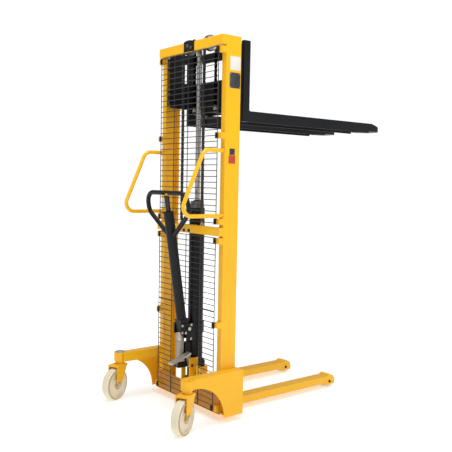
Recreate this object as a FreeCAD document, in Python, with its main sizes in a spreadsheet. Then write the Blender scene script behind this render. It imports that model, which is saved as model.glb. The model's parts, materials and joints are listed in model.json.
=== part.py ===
import FreeCAD, Part
import math
import os
import re
import Sketcher
from FreeCAD import Placement, Rotation, Vector

# Hand pallet stacker: a two-channel mast on a low base, a chain-lifted fork carriage and a hand pump.
# Millimetres and degrees. +Z is up, +Y runs along the forks, +X is the operator's right.
# The origin lies on the floor, under the middle of the mast's operator-side face.
# The forks are fully raised here.

# Driving dimensions, each one free to change by itself.
SIZES = {
    # Mast channels
    "mast_height": 2080,
    "mast_width": 610,
    "floor_gap": 33,
    "channel_depth": 100,
    "channel_width": 36,
    "channel_wall": 6,
    # Cross members of the mast
    "beam_depth": 28,
    "top_beam_height": 52,
    "middle_beam_base": 1010,
    "middle_beam_height": 46,
    "beam_saddle_width": 72,
    "top_saddle_width": 96,
    "top_saddle_gauge": 4,
    "top_saddle_bolt": 14,
    # Base
    "base_overhang": 12,
    "base_plate_gauge": 8,
    "cross_plate_gauge": 10,
    "cross_plate_height": 108,
    "panel_gauge": 6,
    "arm_width": 54,
    "arm_height": 52,
    "arm_wall": 5,
    "arch_radius": 190,
    "arch_overhang": 16,
    # Swivel casters
    "kingpin_back": 253,
    "kingpin_inset": 15,
    "housing_diameter": 68,
    "stem_diameter": 24,
    "kingpin_nut_height": 5,
    "kingpin_nut_diameter": 36,
    "kingpin_washer_height": 3,
    "kingpin_washer_diameter": 60,
    "thrust_bearing_height": 16.5,
    "thrust_bearing_diameter": 54,
    "caster_wheel_diameter": 188,
    "caster_wheel_width": 50,
    "caster_tread_round": 12,
    "caster_hub_diameter": 58,
    "caster_web_width": 30,
    "caster_web_draft": 4,
    "caster_rim_depth": 24,
    "caster_axle_diameter": 16,
    "caster_trail": 45,
    "yoke_side_gauge": 6,
    "yoke_crown_gauge": 10,
    "yoke_side_gap": 4,
    "yoke_crown_gap": 10,
    "yoke_crown_front": 30,
    "yoke_crown_rear": 64,
    "yoke_foot_radius": 19,
    "axle_head_height": 7,
    "axle_head_diameter": 26,
    "right_swivel": 27.5,
    "left_swivel": 22,
    # Outrigger legs and load rollers
    "leg_spread": 407,
    "leg_width": 73,
    "leg_height": 43,
    "leg_wall": 5,
    "load_axle_reach": 941,
    "load_axle_diameter": 16,
    "load_roller_diameter": 80,
    "load_roller_width": 54,
    "load_roller_chamfer": 4,
    "nose_wall": 3.5,
    "nose_base": 20,
    # Lift cylinder
    "barrel_setback": 2,
    "barrel_diameter": 88,
    "barrel_wall": 7,
    "barrel_length": 985,
    "barrel_floor": 20,
    "foot_height": 89,
    "foot_overhang": 1,
    "gland_diameter": 76,
    "gland_height": 40,
    "rod_diameter": 30,
    "piston_height": 40,
    # Lift chains and their sheaves
    "chain_spread": 200,
    "chain_width": 16,
    "chain_depth": 11,
    "chain_pitch_radius": 40,
    "chain_setback": 0.5,
    "sheave_drop": 10,
    "sheave_flange_radius": 44,
    "sheave_flange_gauge": 1.7,
    "sheave_axle_diameter": 18,
    "sheave_axle_overhang": 6,
    "crosshead_height": 38,
    "crosshead_depth": 32,
    "crosshead_gap": 4,
    "anchor_width": 24,
    "anchor_inset": 4,
    "chain_bolt_diameter": 10,
    "chain_bolt_length": 32,
    "hanger_gauge": 16,
    # Fork carriage
    "fork_drop": 384,
    "fork_depth": 60,
    "fork_width": 156,
    "fork_gauge": 6,
    "fork_length": 1143,
    "fork_tip_radius": 60,
    "fork_nose_length": 100,
    "fork_nose_slope": 16,
    "fork_step_length": 130,
    "fork_step_height": 10,
    "carriage_setback": 95,
    "post_width": 24,
    "post_depth": 45,
    "post_height": 442,
    "post_outset": 10,
    "carriage_plate_gauge": 12,
    "lower_plate_height": 200,
    "upper_bar_drop": 23,
    "upper_bar_height": 52,
    "side_plate_gauge": 10,
    "side_plate_inset": 9,
    "side_plate_rise": 100,
    "side_plate_height": 322,
    "side_plate_nose": 32,
    "side_window_margin": 10,
    "side_window_height": 113,
    "side_window_drop": 55,
    "roller_inset": 56,
    "roller_width": 28,
    "roller_chamfer": 3,
    "roller_stub_diameter": 24,
    # Wire guard
    "wire_gauge": 4,
    "guard_inset": 29,
    "guard_columns": 4,
    "guard_pitch": 31,
    "guard_floor_gap": 17,
    "guard_notch_height": 550,
    "lower_guard_drop": 10,
    "upper_guard_rise": 24,
    "upper_guard_drop": 8,
    "lug_height": 32,
    "lug_handle_gap": 4,
    "clip_width": 14,
    "clip_gauge": 6,
    # Grab handles
    "grab_tube_diameter": 22,
    "grab_inset": 15,
    "grab_rise": 64,
    "grab_height": 350,
    "grab_top_reach": 125,
    "grab_bottom_reach": 280,
    "grab_bend_radius": 50,
    # Hand pump
    "pump_cheek_gauge": 6,
    "pump_cheek_gap": 2,
    "pump_cheek_height": 150,
    "pump_cheek_front": 28,
    "pump_cheek_back": 36,
    "pump_cheek_floor": 8,
    "pump_block_width": 50,
    "pump_block_front": 86,
    "pump_block_rise": 97,
    "pump_block_height": 37,
    "pump_back": 60,
    "pump_cylinder_diameter": 46,
    "pump_cylinder_height": 115,
    "pump_cylinder_floor": 10,
    "pump_body_width": 40,
    "pump_body_drop": 14,
    "plunger_diameter": 22,
    "plunger_stroke": 38,
    "plunger_head_diameter": 30,
    "plunger_head_height": 6,
    "ear_height": 62,
    "ear_gauge": 6,
    "ear_spread": 60,
    "ear_front": 80,
    "ear_skirt_front": 40,
    "ear_skirt_drop": 40,
    "collar_wall": 6,
    "reservoir_width": 40,
    "reservoir_depth": 52,
    "reservoir_height": 174,
    "reservoir_gap": 24,
    "filler_neck_diameter": 16,
    "filler_neck_height": 4,
    "filler_cap_diameter": 34,
    "filler_cap_height": 38,
    # Tiller
    "tiller_pivot_back": 24,
    "tiller_pivot_rise": 30,
    "tiller_pin_diameter": 16,
    "tiller_pin_overhang": 5,
    "tiller_lean": 9.1,
    "tiller_tube_diameter": 57,
    "tiller_tube_wall": 4,
    "tiller_tube_offset": 20,
    "tiller_tube_top": 682,
    "tiller_block_front": 46,
    "tiller_block_back": 8,
    "tiller_block_base": 14,
    "tiller_block_top": 60,
    "loop_tube_diameter": 26,
    "loop_half_width": 200,
    "loop_rise": 107,
    "loop_drop": 155,
    "loop_side_straight": 9.5,
    "loop_bend_radius": 65,
    "lever_width": 38,
    "lever_gauge": 8,
    "lever_top_gap": 3,
    "lever_pin_diameter": 8,
    "lever_pin_depth": 18,
    "lever_tail": 12,
    # Foot pedal
    "pedal_pivot_back": 10,
    "pedal_pivot_drop": 44,
    "pedal_pin_diameter": 12,
    "pedal_pin_overhang": 5,
    "pedal_boss_diameter": 30,
    "pedal_web_width": 24,
    "pedal_tread_rise": 78,
    "pedal_tread_tail": 9,
    "pedal_width": 40,
    "pedal_length": 135,
    "pedal_gauge": 10,
    "pedal_slope": 20,
    "pedal_side_gap": 2,
    # Clearances
    "weld_gap": 0.2,
    "running_gap": 0.05,
    "sliding_gap": 0.5,
    "piston_gap": 0.3,
    "load_bay_gap": 1.5,
    "load_side_gap": 1,
    "roller_play": 0.5,
    "roller_side_gap": 2,
    "plunger_end_gap": 6.5,
    "plunger_lift_gap": 0.65,
    "plunger_head_gap": 2,
}

# Places that follow from the driving dimensions, as formulas on them.
PLACES = {
    # Mast and base
    "web_face": "mast_width / 2",
    "flange_tip": "web_face - channel_width",
    "panel_inside": "web_face + arm_width",
    "panel_face": "panel_inside + panel_gauge",
    "mast_base": "floor_gap + base_plate_gauge",
    "base_reach": "channel_depth + base_overhang",
    "top_beam_base": "mast_height - top_beam_height",
    "middle_beam_top": "middle_beam_base + middle_beam_height",
    "cross_plate_top": "floor_gap + cross_plate_height",
    # Casters and arms
    "kingpin_side": "panel_face - kingpin_inset",
    "stem_radius": "stem_diameter / 2",
    "wheel_radius": "caster_wheel_diameter / 2",
    "tread_corner": "caster_tread_round * (1 - cos(45 deg))",
    "yoke_inside": "caster_wheel_width / 2 + yoke_side_gap",
    "yoke_outside": "yoke_inside + yoke_side_gauge",
    "crown_base": "caster_wheel_diameter + yoke_crown_gap",
    "crown_top": "crown_base + yoke_crown_gauge",
    "bearing_top": "crown_top + thrust_bearing_height",
    "arm_underside": "bearing_top + sliding_gap",
    "arm_top": "arm_underside + arm_height",
    "arch_back": "arch_radius + arch_overhang",
    # Legs
    "leg_inside": "(leg_spread - leg_width) / 2",
    "leg_outside": "leg_inside + leg_width",
    "leg_top": "floor_gap + leg_height",
    "load_radius": "load_roller_diameter / 2",
    "bay_radius": "load_radius + load_bay_gap",
    "nose_radius": "bay_radius + nose_wall",
    # Lift cylinder
    "barrel_radius": "barrel_diameter / 2",
    "bore_radius": "barrel_radius - barrel_wall",
    "cylinder_back": "max(barrel_radius + barrel_setback; chain_outer_radius + chain_setback)",
    "barrel_base": "leg_top + foot_height",
    "barrel_top": "barrel_base + barrel_length",
    "gland_top": "barrel_top + gland_height",
    # Chains
    "chain_side": "chain_spread / 2",
    "chain_inner_radius": "chain_pitch_radius - chain_depth / 2",
    "chain_outer_radius": "chain_pitch_radius + chain_depth / 2",
    "groove_half": "chain_width / 2 + weld_gap",
    "sheave_half": "groove_half + sheave_flange_gauge",
    "sheave_height": "mast_height - sheave_drop",
    "crosshead_base": "sheave_height - crosshead_height / 2",
    "crosshead_side": "chain_side - sheave_half - crosshead_gap",
    "sheave_axle_side": "chain_side + sheave_half + sheave_axle_overhang",
    "anchor_strand": "cylinder_back - chain_pitch_radius",
    "carriage_strand": "cylinder_back + chain_pitch_radius",
    "anchor_top": "middle_beam_top - anchor_inset",
    "anchor_chain_base": "anchor_top + chain_bolt_length",
    # Carriage
    "fork_top": "mast_height - fork_drop",
    "fork_base": "fork_top - fork_depth",
    "fork_roof": "fork_top - fork_gauge",
    "fork_heel": "channel_depth + carriage_setback",
    "fork_tip": "fork_heel + fork_length",
    "side_plate_outside": "flange_tip - side_plate_inset",
    "side_plate_inside": "side_plate_outside - side_plate_gauge",
    "side_plate_base": "fork_base + side_plate_rise",
    "side_plate_top": "side_plate_base + side_plate_height",
    "side_window_top": "side_plate_top - side_window_drop",
    "fork_outside": "side_plate_outside + post_outset",
    "fork_inside": "fork_outside - fork_width",
    "post_inside": "fork_outside - post_width",
    "post_back": "fork_heel - post_depth",
    "post_top": "fork_base + post_height",
    "plate_back": "fork_heel - carriage_plate_gauge",
    "lower_plate_top": "fork_roof + lower_plate_height",
    "upper_bar_top": "post_top - upper_bar_drop",
    "upper_bar_base": "upper_bar_top - upper_bar_height",
    "hanger_top": "fork_roof + hanger_gauge",
    "carriage_chain_base": "hanger_top + chain_bolt_length",
    "roller_back": "channel_depth / 2",
    "roller_lower_height": "side_plate_base + roller_inset",
    "roller_upper_height": "side_plate_top - roller_inset",
    "roller_radius": "roller_back - channel_wall - roller_play",
    "roller_outside": "web_face - channel_wall - roller_side_gap",
    "roller_middle": "roller_outside - roller_width / 2",
    # Guard and grab handles
    "guard_side": "web_face - guard_inset",
    "guard_front": "beam_depth + wire_gauge",
    "lower_guard_base": "floor_gap + guard_floor_gap",
    "lower_guard_top": "middle_beam_base - lower_guard_drop",
    "guard_notch_top": "lower_guard_base + guard_notch_height",
    "upper_guard_base": "middle_beam_top + upper_guard_rise",
    "upper_guard_top": "top_beam_base - upper_guard_drop",
    "grab_side": "web_face - grab_inset",
    "grab_bottom": "middle_beam_top + grab_rise",
    "grab_top": "grab_bottom + grab_height",
    # Pump
    "cheek_inside": "barrel_radius + pump_cheek_gap",
    "cheek_outside": "cheek_inside + pump_cheek_gauge",
    "cheek_top": "cross_plate_top + pump_cheek_height",
    "foot_half": "barrel_radius + foot_overhang",
    "pump_block_half": "pump_block_width / 2",
    "pump_block_base": "cross_plate_top + pump_block_rise",
    "pump_block_top": "pump_block_base + pump_block_height",
    "pump_bore_base": "pump_block_top + pump_cylinder_floor",
    "pump_cylinder_top": "pump_block_top + pump_cylinder_height",
    "plunger_radius": "plunger_diameter / 2",
    "plunger_base": "pump_bore_base + plunger_stroke + plunger_end_gap",
    "ear_base": "pump_cylinder_top + plunger_stroke + plunger_head_gap",
    "ear_top": "ear_base + ear_height",
    "skirt_base": "ear_base - ear_skirt_drop",
    "ear_inside": "ear_spread / 2",
    "ear_outside": "ear_inside + ear_gauge",
    "collar_radius": "barrel_radius + weld_gap + collar_wall",
    "reservoir_inside": "cheek_outside + reservoir_gap",
    "reservoir_top": "leg_top + reservoir_height",
    "filler_side": "reservoir_inside + reservoir_width / 2",
    "filler_back": "sliding_gap + reservoir_depth / 2",
    "neck_top": "reservoir_top + filler_neck_height",
    # Tiller and pedal
    "tiller_pivot_height": "ear_base + tiller_pivot_rise",
    "block_toe_drop": "tiller_block_front * sin(tiller_lean * 1 deg)",
    "block_base_drop": "tiller_block_base * cos(tiller_lean * 1 deg)",
    "plunger_top": "tiller_pivot_height - block_toe_drop - block_base_drop - plunger_lift_gap",
    "plunger_shoulder": "plunger_top - plunger_head_height",
    "tiller_block_half": "ear_inside - sliding_gap",
    "tiller_tube_radius": "tiller_tube_diameter / 2",
    "tiller_tube_bore": "tiller_tube_radius - tiller_tube_wall",
    "loop_top": "tiller_tube_top + loop_rise",
    "loop_shoulder": "loop_top - 1.5 * loop_bend_radius - loop_side_straight",
    "loop_neck": "loop_shoulder - loop_drop",
    "lever_pin_height": "tiller_tube_top - lever_pin_depth",
    "lever_top": "loop_top - loop_tube_diameter / 2 - lever_top_gap",
    "pedal_pivot_height": "cheek_top - pedal_pivot_drop",
    "pedal_near": "pump_block_half + pedal_side_gap",
    "pedal_hub_far": "cheek_inside - pedal_side_gap",
}

SIDES = (("left", -1), ("right", 1))
AXIS_TURN = {
    "X": Rotation(Vector(0, 1, 0), 90),
    "Y": Rotation(Vector(1, 0, 0), -90),
    "Z": Rotation(),
}

doc = FreeCAD.newDocument("PalletStacker")
nodes = {}


def fill_sheet(name, table):
    """Makes a spreadsheet with one aliased cell for each entry of the table."""
    sheet = doc.addObject("Spreadsheet::Sheet", name)
    for row, (alias, content) in enumerate(table.items(), start=1):
        sheet.set(f"A{row}", alias)
        sheet.set(f"B{row}", str(content))
        sheet.setAlias(f"B{row}", alias)
    return sheet


def link(formula):
    """Turns the plain names in a formula into references to the spreadsheets' cells."""
    def owner(match):
        word = match.group(0)
        if word in SIZES:
            return "Sizes." + word
        return "Places." + word if word in PLACES else word
    return re.sub(r"[a-z][a-z_]+", owner, str(formula))


sizes = fill_sheet("Sizes", SIZES)
places = fill_sheet("Places", {name: "=" + link(text) for name, text in PLACES.items()})
doc.recompute()


def number(name):
    """Reads the present value of a named size or place."""
    return float(sizes.get(name) if name in SIZES else places.get(name))


def bind(item, **formulas):
    """Binds properties of an object to formulas on the named sizes."""
    for prop, formula in formulas.items():
        item.setExpression(prop, link(formula))
    return item


def move(item, x="0", y="0", z="0"):
    """Binds an object's position to three formulas."""
    for axis, formula in zip("xyz", (x, y, z)):
        item.setExpression(f"Placement.Base.{axis}", link(formula))
    return item


def turn(item, axis, angle):
    """Turns an object about an axis of its own frame by a named angle."""
    item.Placement = Placement(item.Placement.Base, Rotation(axis, 1))
    item.setExpression("Placement.Rotation.Angle", link(angle))
    return item


def sub_part(label, item):
    """Registers a finished object as the sub-part with that label."""
    item.Label = label
    nodes[label] = item
    return item


def mirror_span(sign, near, far):
    """Gives the low and high X of a piece that reaches from near to far on one side."""
    return (near, far) if sign > 0 else (f"-({far})", f"-({near})")


def box(x, y, z):
    """A block between two formulas on each axis."""
    item = doc.addObject("Part::Box", "Block")
    for prop, (low, high) in zip(("Length", "Width", "Height"), (x, y, z)):
        bind(item, **{prop: f"({high}) - ({low})"})
    return move(item, x[0], y[0], z[0])


def bar(axis, radius, centre, span):
    """A round bar along an axis, about a centre given on the other two axes in X, Y, Z order."""
    item = doc.addObject("Part::Cylinder", "Bar")
    item.Placement = Placement(Vector(), AXIS_TURN[axis])
    bind(item, Radius=radius, Height=f"({span[1]}) - ({span[0]})")
    spot = list(centre)
    spot.insert("XYZ".index(axis), span[0])
    return move(item, *spot)


def fuse(*items):
    """One solid from several that touch or overlap."""
    item = doc.addObject("Part::MultiFuse", "Union")
    item.Shapes = list(items)
    return item


def group(*items):
    """Several separate solids kept together."""
    item = doc.addObject("Part::Compound", "Group")
    item.Links = list(items)
    return item


def cut(base, *tools):
    """A solid with others taken away."""
    item = doc.addObject("Part::Cut", "Difference")
    item.Base = base
    item.Tool = tools[0] if len(tools) == 1 else fuse(*tools)
    return item


def outline(body, plane, corners):
    """A closed polygon sketch with each corner bound to two formulas."""
    sketch = body.newObject("Sketcher::SketchObject", "Outline")
    role = next(item for item in body.Origin.OriginFeatures if item.Role == plane)
    sketch.AttachmentSupport = (role, [""])
    sketch.MapMode = "FlatFace"
    count = len(corners)
    ring = [Vector(math.cos(step), math.sin(step)) for step in
            (2 * math.pi * index / count for index in range(count))]
    for index in range(count):
        sketch.addGeometry(Part.LineSegment(ring[index], ring[(index + 1) % count]), False)
    for index in range(count):
        sketch.addConstraint(Sketcher.Constraint("Coincident", index, 2, (index + 1) % count, 1))
    for index, corner in enumerate(corners):
        for kind, formula in zip(("DistanceX", "DistanceY"), corner):
            held = sketch.addConstraint(Sketcher.Constraint(kind, -1, 1, index, 1, 1.0))
            sketch.setExpression(f"Constraints[{held}]", link(formula))
    return sketch


def extrusion(plane, corners, length):
    """A body padded from a polygon, along the normal of its plane."""
    body = doc.addObject("PartDesign::Body", "Extrusion")
    pad = body.newObject("PartDesign::Pad", "Pad")
    pad.Profile = outline(body, plane, corners)
    bind(pad, Length=length)
    body.Tip = pad
    return body


def turned(corners):
    """A body turned about its own X axis from a polygon of axial and radial formulas."""
    body = doc.addObject("PartDesign::Body", "Turned")
    profile = outline(body, "XY_Plane", corners)
    revolution = body.newObject("PartDesign::Revolution", "Revolution")
    revolution.Profile = profile
    revolution.ReferenceAxis = (profile, ["H_Axis"])
    revolution.Angle = 360
    body.Tip = revolution
    return body


def solid(shape):
    """An object that holds a shape made from the sheets' present values."""
    item = doc.addObject("Part::Feature", "Solid")
    item.Shape = shape
    return item


def bent_tube(points, bend_radius, tube_radius):
    """A round tube along straight runs, with a tangent arc at each inner point."""
    edges = []
    start = points[0]
    for before, corner, after in zip(points, points[1:], points[2:]):
        to_before = (before - corner).normalize()
        to_after = (after - corner).normalize()
        half_turn = to_before.getAngle(to_after) / 2
        tangent = bend_radius / math.tan(half_turn)
        centre = corner + (to_before + to_after).normalize() * (bend_radius / math.sin(half_turn))
        crest = centre + (corner - centre).normalize() * bend_radius
        leave, join = corner + to_before * tangent, corner + to_after * tangent
        edges.append(Part.LineSegment(start, leave).toShape())
        edges.append(Part.Arc(leave, crest, join).toShape())
        start = join
    edges.append(Part.LineSegment(start, points[-1]).toShape())
    path = Part.Wire(edges)
    ring = Part.Wire([Part.makeCircle(tube_radius, points[0], points[1] - points[0])])
    return path.makePipeShell([ring], True, False)


def uprights():
    """Two channel sections that stand with their open sides facing each other."""
    for side, sign in SIDES:
        web, inner, tip = (f"{sign} * ({place})" for place in
                           ("web_face", "web_face - channel_wall", "flange_tip"))
        back, back_inner = "channel_depth", "channel_depth - channel_wall"
        corners = [(web, "0"), (web, back), (tip, back), (tip, back_inner),
                   (inner, back_inner), (inner, "channel_wall"), (tip, "channel_wall"), (tip, "0")]
        body = extrusion("XY_Plane", corners, "mast_height - mast_base")
        sub_part(f"{side}_upright", move(body, z="mast_base"))


def cross_members():
    """The beams and plates that tie the two uprights together."""
    full = ("-web_face", "web_face")
    sub_part("top_beam", box(full, ("-beam_depth", "0"), ("top_beam_base", "mast_height")))

    half = "top_saddle_width / 2"
    front = "-(beam_depth + top_saddle_gauge)"
    face = box((f"-{half}", half), (front, "-beam_depth"), ("top_beam_base", "mast_height"))
    cap = box((f"-{half}", half), (front, "0"), ("mast_height", "mast_height + top_saddle_gauge"))
    bolt = bar("Z", "top_saddle_bolt / 2", ("0", "-beam_depth / 2"),
               ("mast_height", "mast_height + top_saddle_gauge + top_saddle_bolt / 2"))
    sub_part("top_saddle", fuse(face, cap, bolt))

    height = ("middle_beam_base", "middle_beam_top")
    beam = box(full, ("-beam_depth", "0"), height)
    half = "beam_saddle_width / 2"
    saddle = box((f"-{half}", half), ("0", "cylinder_back / 2"), height)
    seat = bar("Z", "barrel_radius + weld_gap", ("0", "cylinder_back"), height)
    sub_part("middle_beam", cut(fuse(beam, saddle), seat))

    sub_part("lower_cross_plate", box(full, ("-cross_plate_gauge", "0"), ("floor_gap", "cross_plate_top")))


def base():
    """The floor tray between the side arms, and the boxed arms with their arched side panels."""
    middle = box(("-leg_inside", "leg_inside"), ("0", "channel_depth"), ("floor_gap", "leg_top"))
    sub_part("base_crossbar", middle)
    floors = [box(mirror_span(sign, "leg_outside", "panel_inside"), ("0", "base_reach"),
                  ("floor_gap", "mast_base")) for _, sign in SIDES]
    sub_part("base_plates", group(*floors))
    for side, sign in SIDES:
        panel_x = mirror_span(sign, "panel_inside", "panel_face")
        arm_x = mirror_span(sign, "web_face", "panel_inside")
        hollow_x = mirror_span(sign, "web_face + arm_wall", "panel_inside")
        length = ("-kingpin_back", "base_reach")
        panel = box(panel_x, length, ("floor_gap", "arm_top"))
        underarm = box(panel_x, ("-kingpin_back", "-arch_back"), ("floor_gap", "arm_underside"))
        arch = bar("X", "arch_radius", ("-arch_back", "floor_gap"), panel_x)
        arm = box(arm_x, length, ("arm_underside", "arm_top"))
        hollow = box(hollow_x, ("-kingpin_back", "base_reach - arm_wall"),
                     ("arm_underside + arm_wall", "arm_top - arm_wall"))
        pivot = (f"{sign} * kingpin_side", "-kingpin_back")
        height = ("arm_underside", "arm_top")
        room = bar("Z", "housing_diameter / 2 + weld_gap", pivot, ("floor_gap", "arm_top"))
        welded = cut(fuse(cut(panel, underarm, arch), cut(arm, hollow)), room)
        sub_part(f"{side}_arm", welded)

        tube = bar("Z", "housing_diameter / 2", pivot, height)
        stem_bore = bar("Z", "stem_radius + running_gap", pivot, height)
        sub_part(f"{side}_kingpin_housing", cut(tube, stem_bore))


def casters():
    """Two swivel casters, each a yoke with its stem and axle, and a free wheel."""
    for side, sign in SIDES:
        swivel = f"{side}_swivel"
        crown = box(("-yoke_outside", "yoke_outside"), ("-yoke_crown_rear", "yoke_crown_front"),
                    ("crown_base", "crown_top"))
        bearing = bar("Z", "thrust_bearing_diameter / 2", ("0", "0"),
                      ("crown_top", "bearing_top"))
        stem = bar("Z", "stem_radius", ("0", "0"), ("crown_top", "arm_top + kingpin_washer_height"))
        washer = bar("Z", "kingpin_washer_diameter / 2", ("0", "0"),
                     ("arm_top + sliding_gap", "arm_top + kingpin_washer_height"))
        nut = bar("Z", "kingpin_nut_diameter / 2", ("0", "0"),
                  ("arm_top + kingpin_washer_height",
                   "arm_top + kingpin_washer_height + kingpin_nut_height"))
        pieces = [crown, bearing, stem, washer, nut]
        for reach in (("yoke_inside", "yoke_outside"), ("-yoke_outside", "-yoke_inside")):
            heel, toe = "-caster_trail - yoke_foot_radius", "yoke_foot_radius - caster_trail"
            corners = [("yoke_crown_front", "crown_top"), ("-yoke_crown_rear", "crown_top"),
                       (heel, "wheel_radius"), (toe, "wheel_radius")]
            cheek = extrusion("YZ_Plane", corners, "yoke_side_gauge")
            pieces.append(move(cheek, x=reach[0]))
            pieces.append(bar("X", "yoke_foot_radius", ("-caster_trail", "wheel_radius"), reach))
        axle_end = "yoke_outside + axle_head_height"
        pieces.append(bar("X", "caster_axle_diameter / 2", ("-caster_trail", "wheel_radius"),
                          (f"-({axle_end})", axle_end)))
        for reach in (("yoke_outside", axle_end), (f"-({axle_end})", "-yoke_outside")):
            pieces.append(bar("X", "axle_head_diameter / 2", ("-caster_trail", "wheel_radius"), reach))
        yoke = turn(fuse(*pieces), Vector(0, 0, 1), swivel)
        sub_part(f"{side}_caster_yoke", move(yoke, f"{sign} * kingpin_side", "-kingpin_back"))

        half, web = "caster_wheel_width / 2", "caster_web_width / 2"
        rim = "wheel_radius - caster_rim_depth"
        edge = "caster_tread_round"
        bore = "caster_axle_diameter / 2 + running_gap"
        right_half = [(half, bore), (half, "caster_hub_diameter / 2"),
                      (web, "caster_hub_diameter / 2 + caster_web_draft"),
                      (web, rim), (half, f"{rim} + caster_web_draft"), (half, f"wheel_radius - {edge}"),
                      (f"{half} - tread_corner", "wheel_radius - tread_corner"),
                      (f"{half} - {edge}", "wheel_radius")]
        left_half = [(f"-({across})", radius) for across, radius in reversed(right_half)]
        wheel = turn(turned(right_half + left_half), Vector(0, 0, 1), swivel)
        move(wheel, f"{sign} * kingpin_side + caster_trail * sin({swivel} * 1 deg)",
             f"-kingpin_back - caster_trail * cos({swivel} * 1 deg)", "wheel_radius")
        sub_part(f"{side}_caster_wheel", wheel)


def legs():
    """Two outrigger legs with a domed nose over a load roller."""
    for side, sign in SIDES:
        across = mirror_span(sign, "leg_inside", "leg_outside")
        inside = mirror_span(sign, "leg_inside + leg_wall", "leg_outside - leg_wall")
        bay_half = "load_roller_width / 2 + load_side_gap"
        middle = f"{sign} * leg_spread / 2"
        bay_x = (f"{middle} - ({bay_half})", f"{middle} + {bay_half}")
        axle = ("load_axle_reach", "load_radius")
        tube = box(across, ("0", "load_axle_reach"), ("floor_gap", "leg_top"))
        dome = bar("X", "nose_radius", axle, across)
        trim = box(across, ("load_axle_reach - nose_radius", "load_axle_reach + nose_radius"),
                   ("load_radius - nose_radius", "nose_base"))
        hollow = box(inside, ("0", "load_axle_reach - nose_radius - leg_wall"),
                     ("floor_gap + leg_wall", "leg_top - leg_wall"))
        bay = bar("X", "bay_radius", axle, bay_x)
        pin = bar("X", "load_axle_diameter / 2", axle, across)
        sub_part(f"{side}_leg", fuse(cut(fuse(tube, dome), trim, hollow, bay), pin))

        half, chamfer = "load_roller_width / 2", "load_roller_chamfer"
        corners = [(f"-{half}", "load_axle_diameter / 2 + running_gap"),
                   (half, "load_axle_diameter / 2 + running_gap"),
                   (half, f"load_radius - {chamfer}"), (f"{half} - {chamfer}", "load_radius"),
                   (f"{chamfer} - {half}", "load_radius"), (f"-{half}", f"load_radius - {chamfer}")]
        sub_part(f"{side}_load_roller", move(turned(corners), middle, *axle))


def lift_cylinder():
    """The upright hydraulic cylinder, its rod, and the crosshead that carries the chain sheaves."""
    axis = ("0", "cylinder_back")
    foot = box(("-foot_half", "foot_half"),
               ("cylinder_back - barrel_radius", "cylinder_back + barrel_radius"), ("leg_top", "barrel_base"))
    barrel = bar("Z", "barrel_radius", axis, ("barrel_base", "barrel_top"))
    bore = bar("Z", "bore_radius", axis, ("barrel_base + barrel_floor", "barrel_top"))
    sub_part("cylinder_barrel", cut(fuse(foot, barrel), bore))
    gland = bar("Z", "gland_diameter / 2", axis, ("barrel_top", "gland_top"))
    throat = bar("Z", "rod_diameter / 2 + running_gap", axis, ("barrel_top", "gland_top"))
    sub_part("cylinder_gland", cut(gland, throat))

    piston_base = "barrel_top - piston_height - sliding_gap"
    rod = bar("Z", "rod_diameter / 2", axis, (piston_base, "crosshead_base"))
    piston = bar("Z", "bore_radius - piston_gap", axis, (piston_base, "barrel_top - sliding_gap"))
    sub_part("piston_rod", fuse(rod, piston))
    head = box(("-crosshead_side", "crosshead_side"),
               ("cylinder_back - crosshead_depth / 2", "cylinder_back + crosshead_depth / 2"),
               ("crosshead_base", "crosshead_base + crosshead_height"))
    axle = bar("X", "sheave_axle_diameter / 2", ("cylinder_back", "sheave_height"),
               ("-sheave_axle_side", "sheave_axle_side"))
    sub_part("crosshead", fuse(head, axle))


def lift_chains():
    """Two chains from the middle beam over the sheaves and down to the carriage."""
    bore = "sheave_axle_diameter / 2 + running_gap"
    groove = "chain_inner_radius - sliding_gap"
    corners = [("-sheave_half", bore), ("sheave_half", bore), ("sheave_half", "sheave_flange_radius"),
               ("groove_half", "sheave_flange_radius"), ("groove_half", groove), ("-groove_half", groove),
               ("-groove_half", "sheave_flange_radius"), ("-sheave_half", "sheave_flange_radius")]
    wraps, anchor_runs, carriage_runs, anchors, hangers = [], [], [], [], []
    for side, sign in SIDES:
        middle = f"{sign} * chain_side"
        sheave = move(turned(corners), middle, "cylinder_back", "sheave_height")
        sub_part(f"{side}_sheave", sheave)

        chain_x = (f"{middle} - chain_width / 2", f"{middle} + chain_width / 2")
        bracket_x = (f"{middle} - anchor_width / 2", f"{middle} + anchor_width / 2")
        axle = ("cylinder_back", "sheave_height")
        ring = cut(bar("X", "chain_outer_radius", axle, chain_x),
                   bar("X", "chain_inner_radius", axle, chain_x))
        below = box(chain_x, ("cylinder_back - chain_outer_radius", "cylinder_back + chain_outer_radius"),
                    ("sheave_height - chain_outer_radius", "sheave_height"))
        wraps.append(cut(ring, below))
        for strand, low, runs in (("anchor_strand", "anchor_chain_base", anchor_runs),
                                  ("carriage_strand", "carriage_chain_base", carriage_runs)):
            depth = (f"{strand} - chain_depth / 2", f"{strand} + chain_depth / 2")
            runs.append(box(chain_x, depth, (low, "sheave_height")))

        anchor = box(bracket_x, ("0", "2 * anchor_strand"), ("middle_beam_base", "anchor_top"))
        anchor_bolt = bar("Z", "chain_bolt_diameter / 2", (middle, "anchor_strand"),
                          ("anchor_top", "anchor_chain_base"))
        anchors.append(fuse(anchor, anchor_bolt))
        hanger = box(bracket_x, ("carriage_strand - chain_depth / 2", "plate_back"),
                     ("fork_roof", "hanger_top"))
        hanger_bolt = bar("Z", "chain_bolt_diameter / 2", (middle, "carriage_strand"),
                          ("hanger_top", "carriage_chain_base"))
        hangers.append(fuse(hanger, hanger_bolt))
    sub_part("chain_wraps", group(*wraps))
    sub_part("anchor_chains", group(*anchor_runs))
    sub_part("carriage_chains", group(*carriage_runs))
    sub_part("chain_anchors", group(*anchors))
    sub_part("chain_hangers", group(*hangers))


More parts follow.
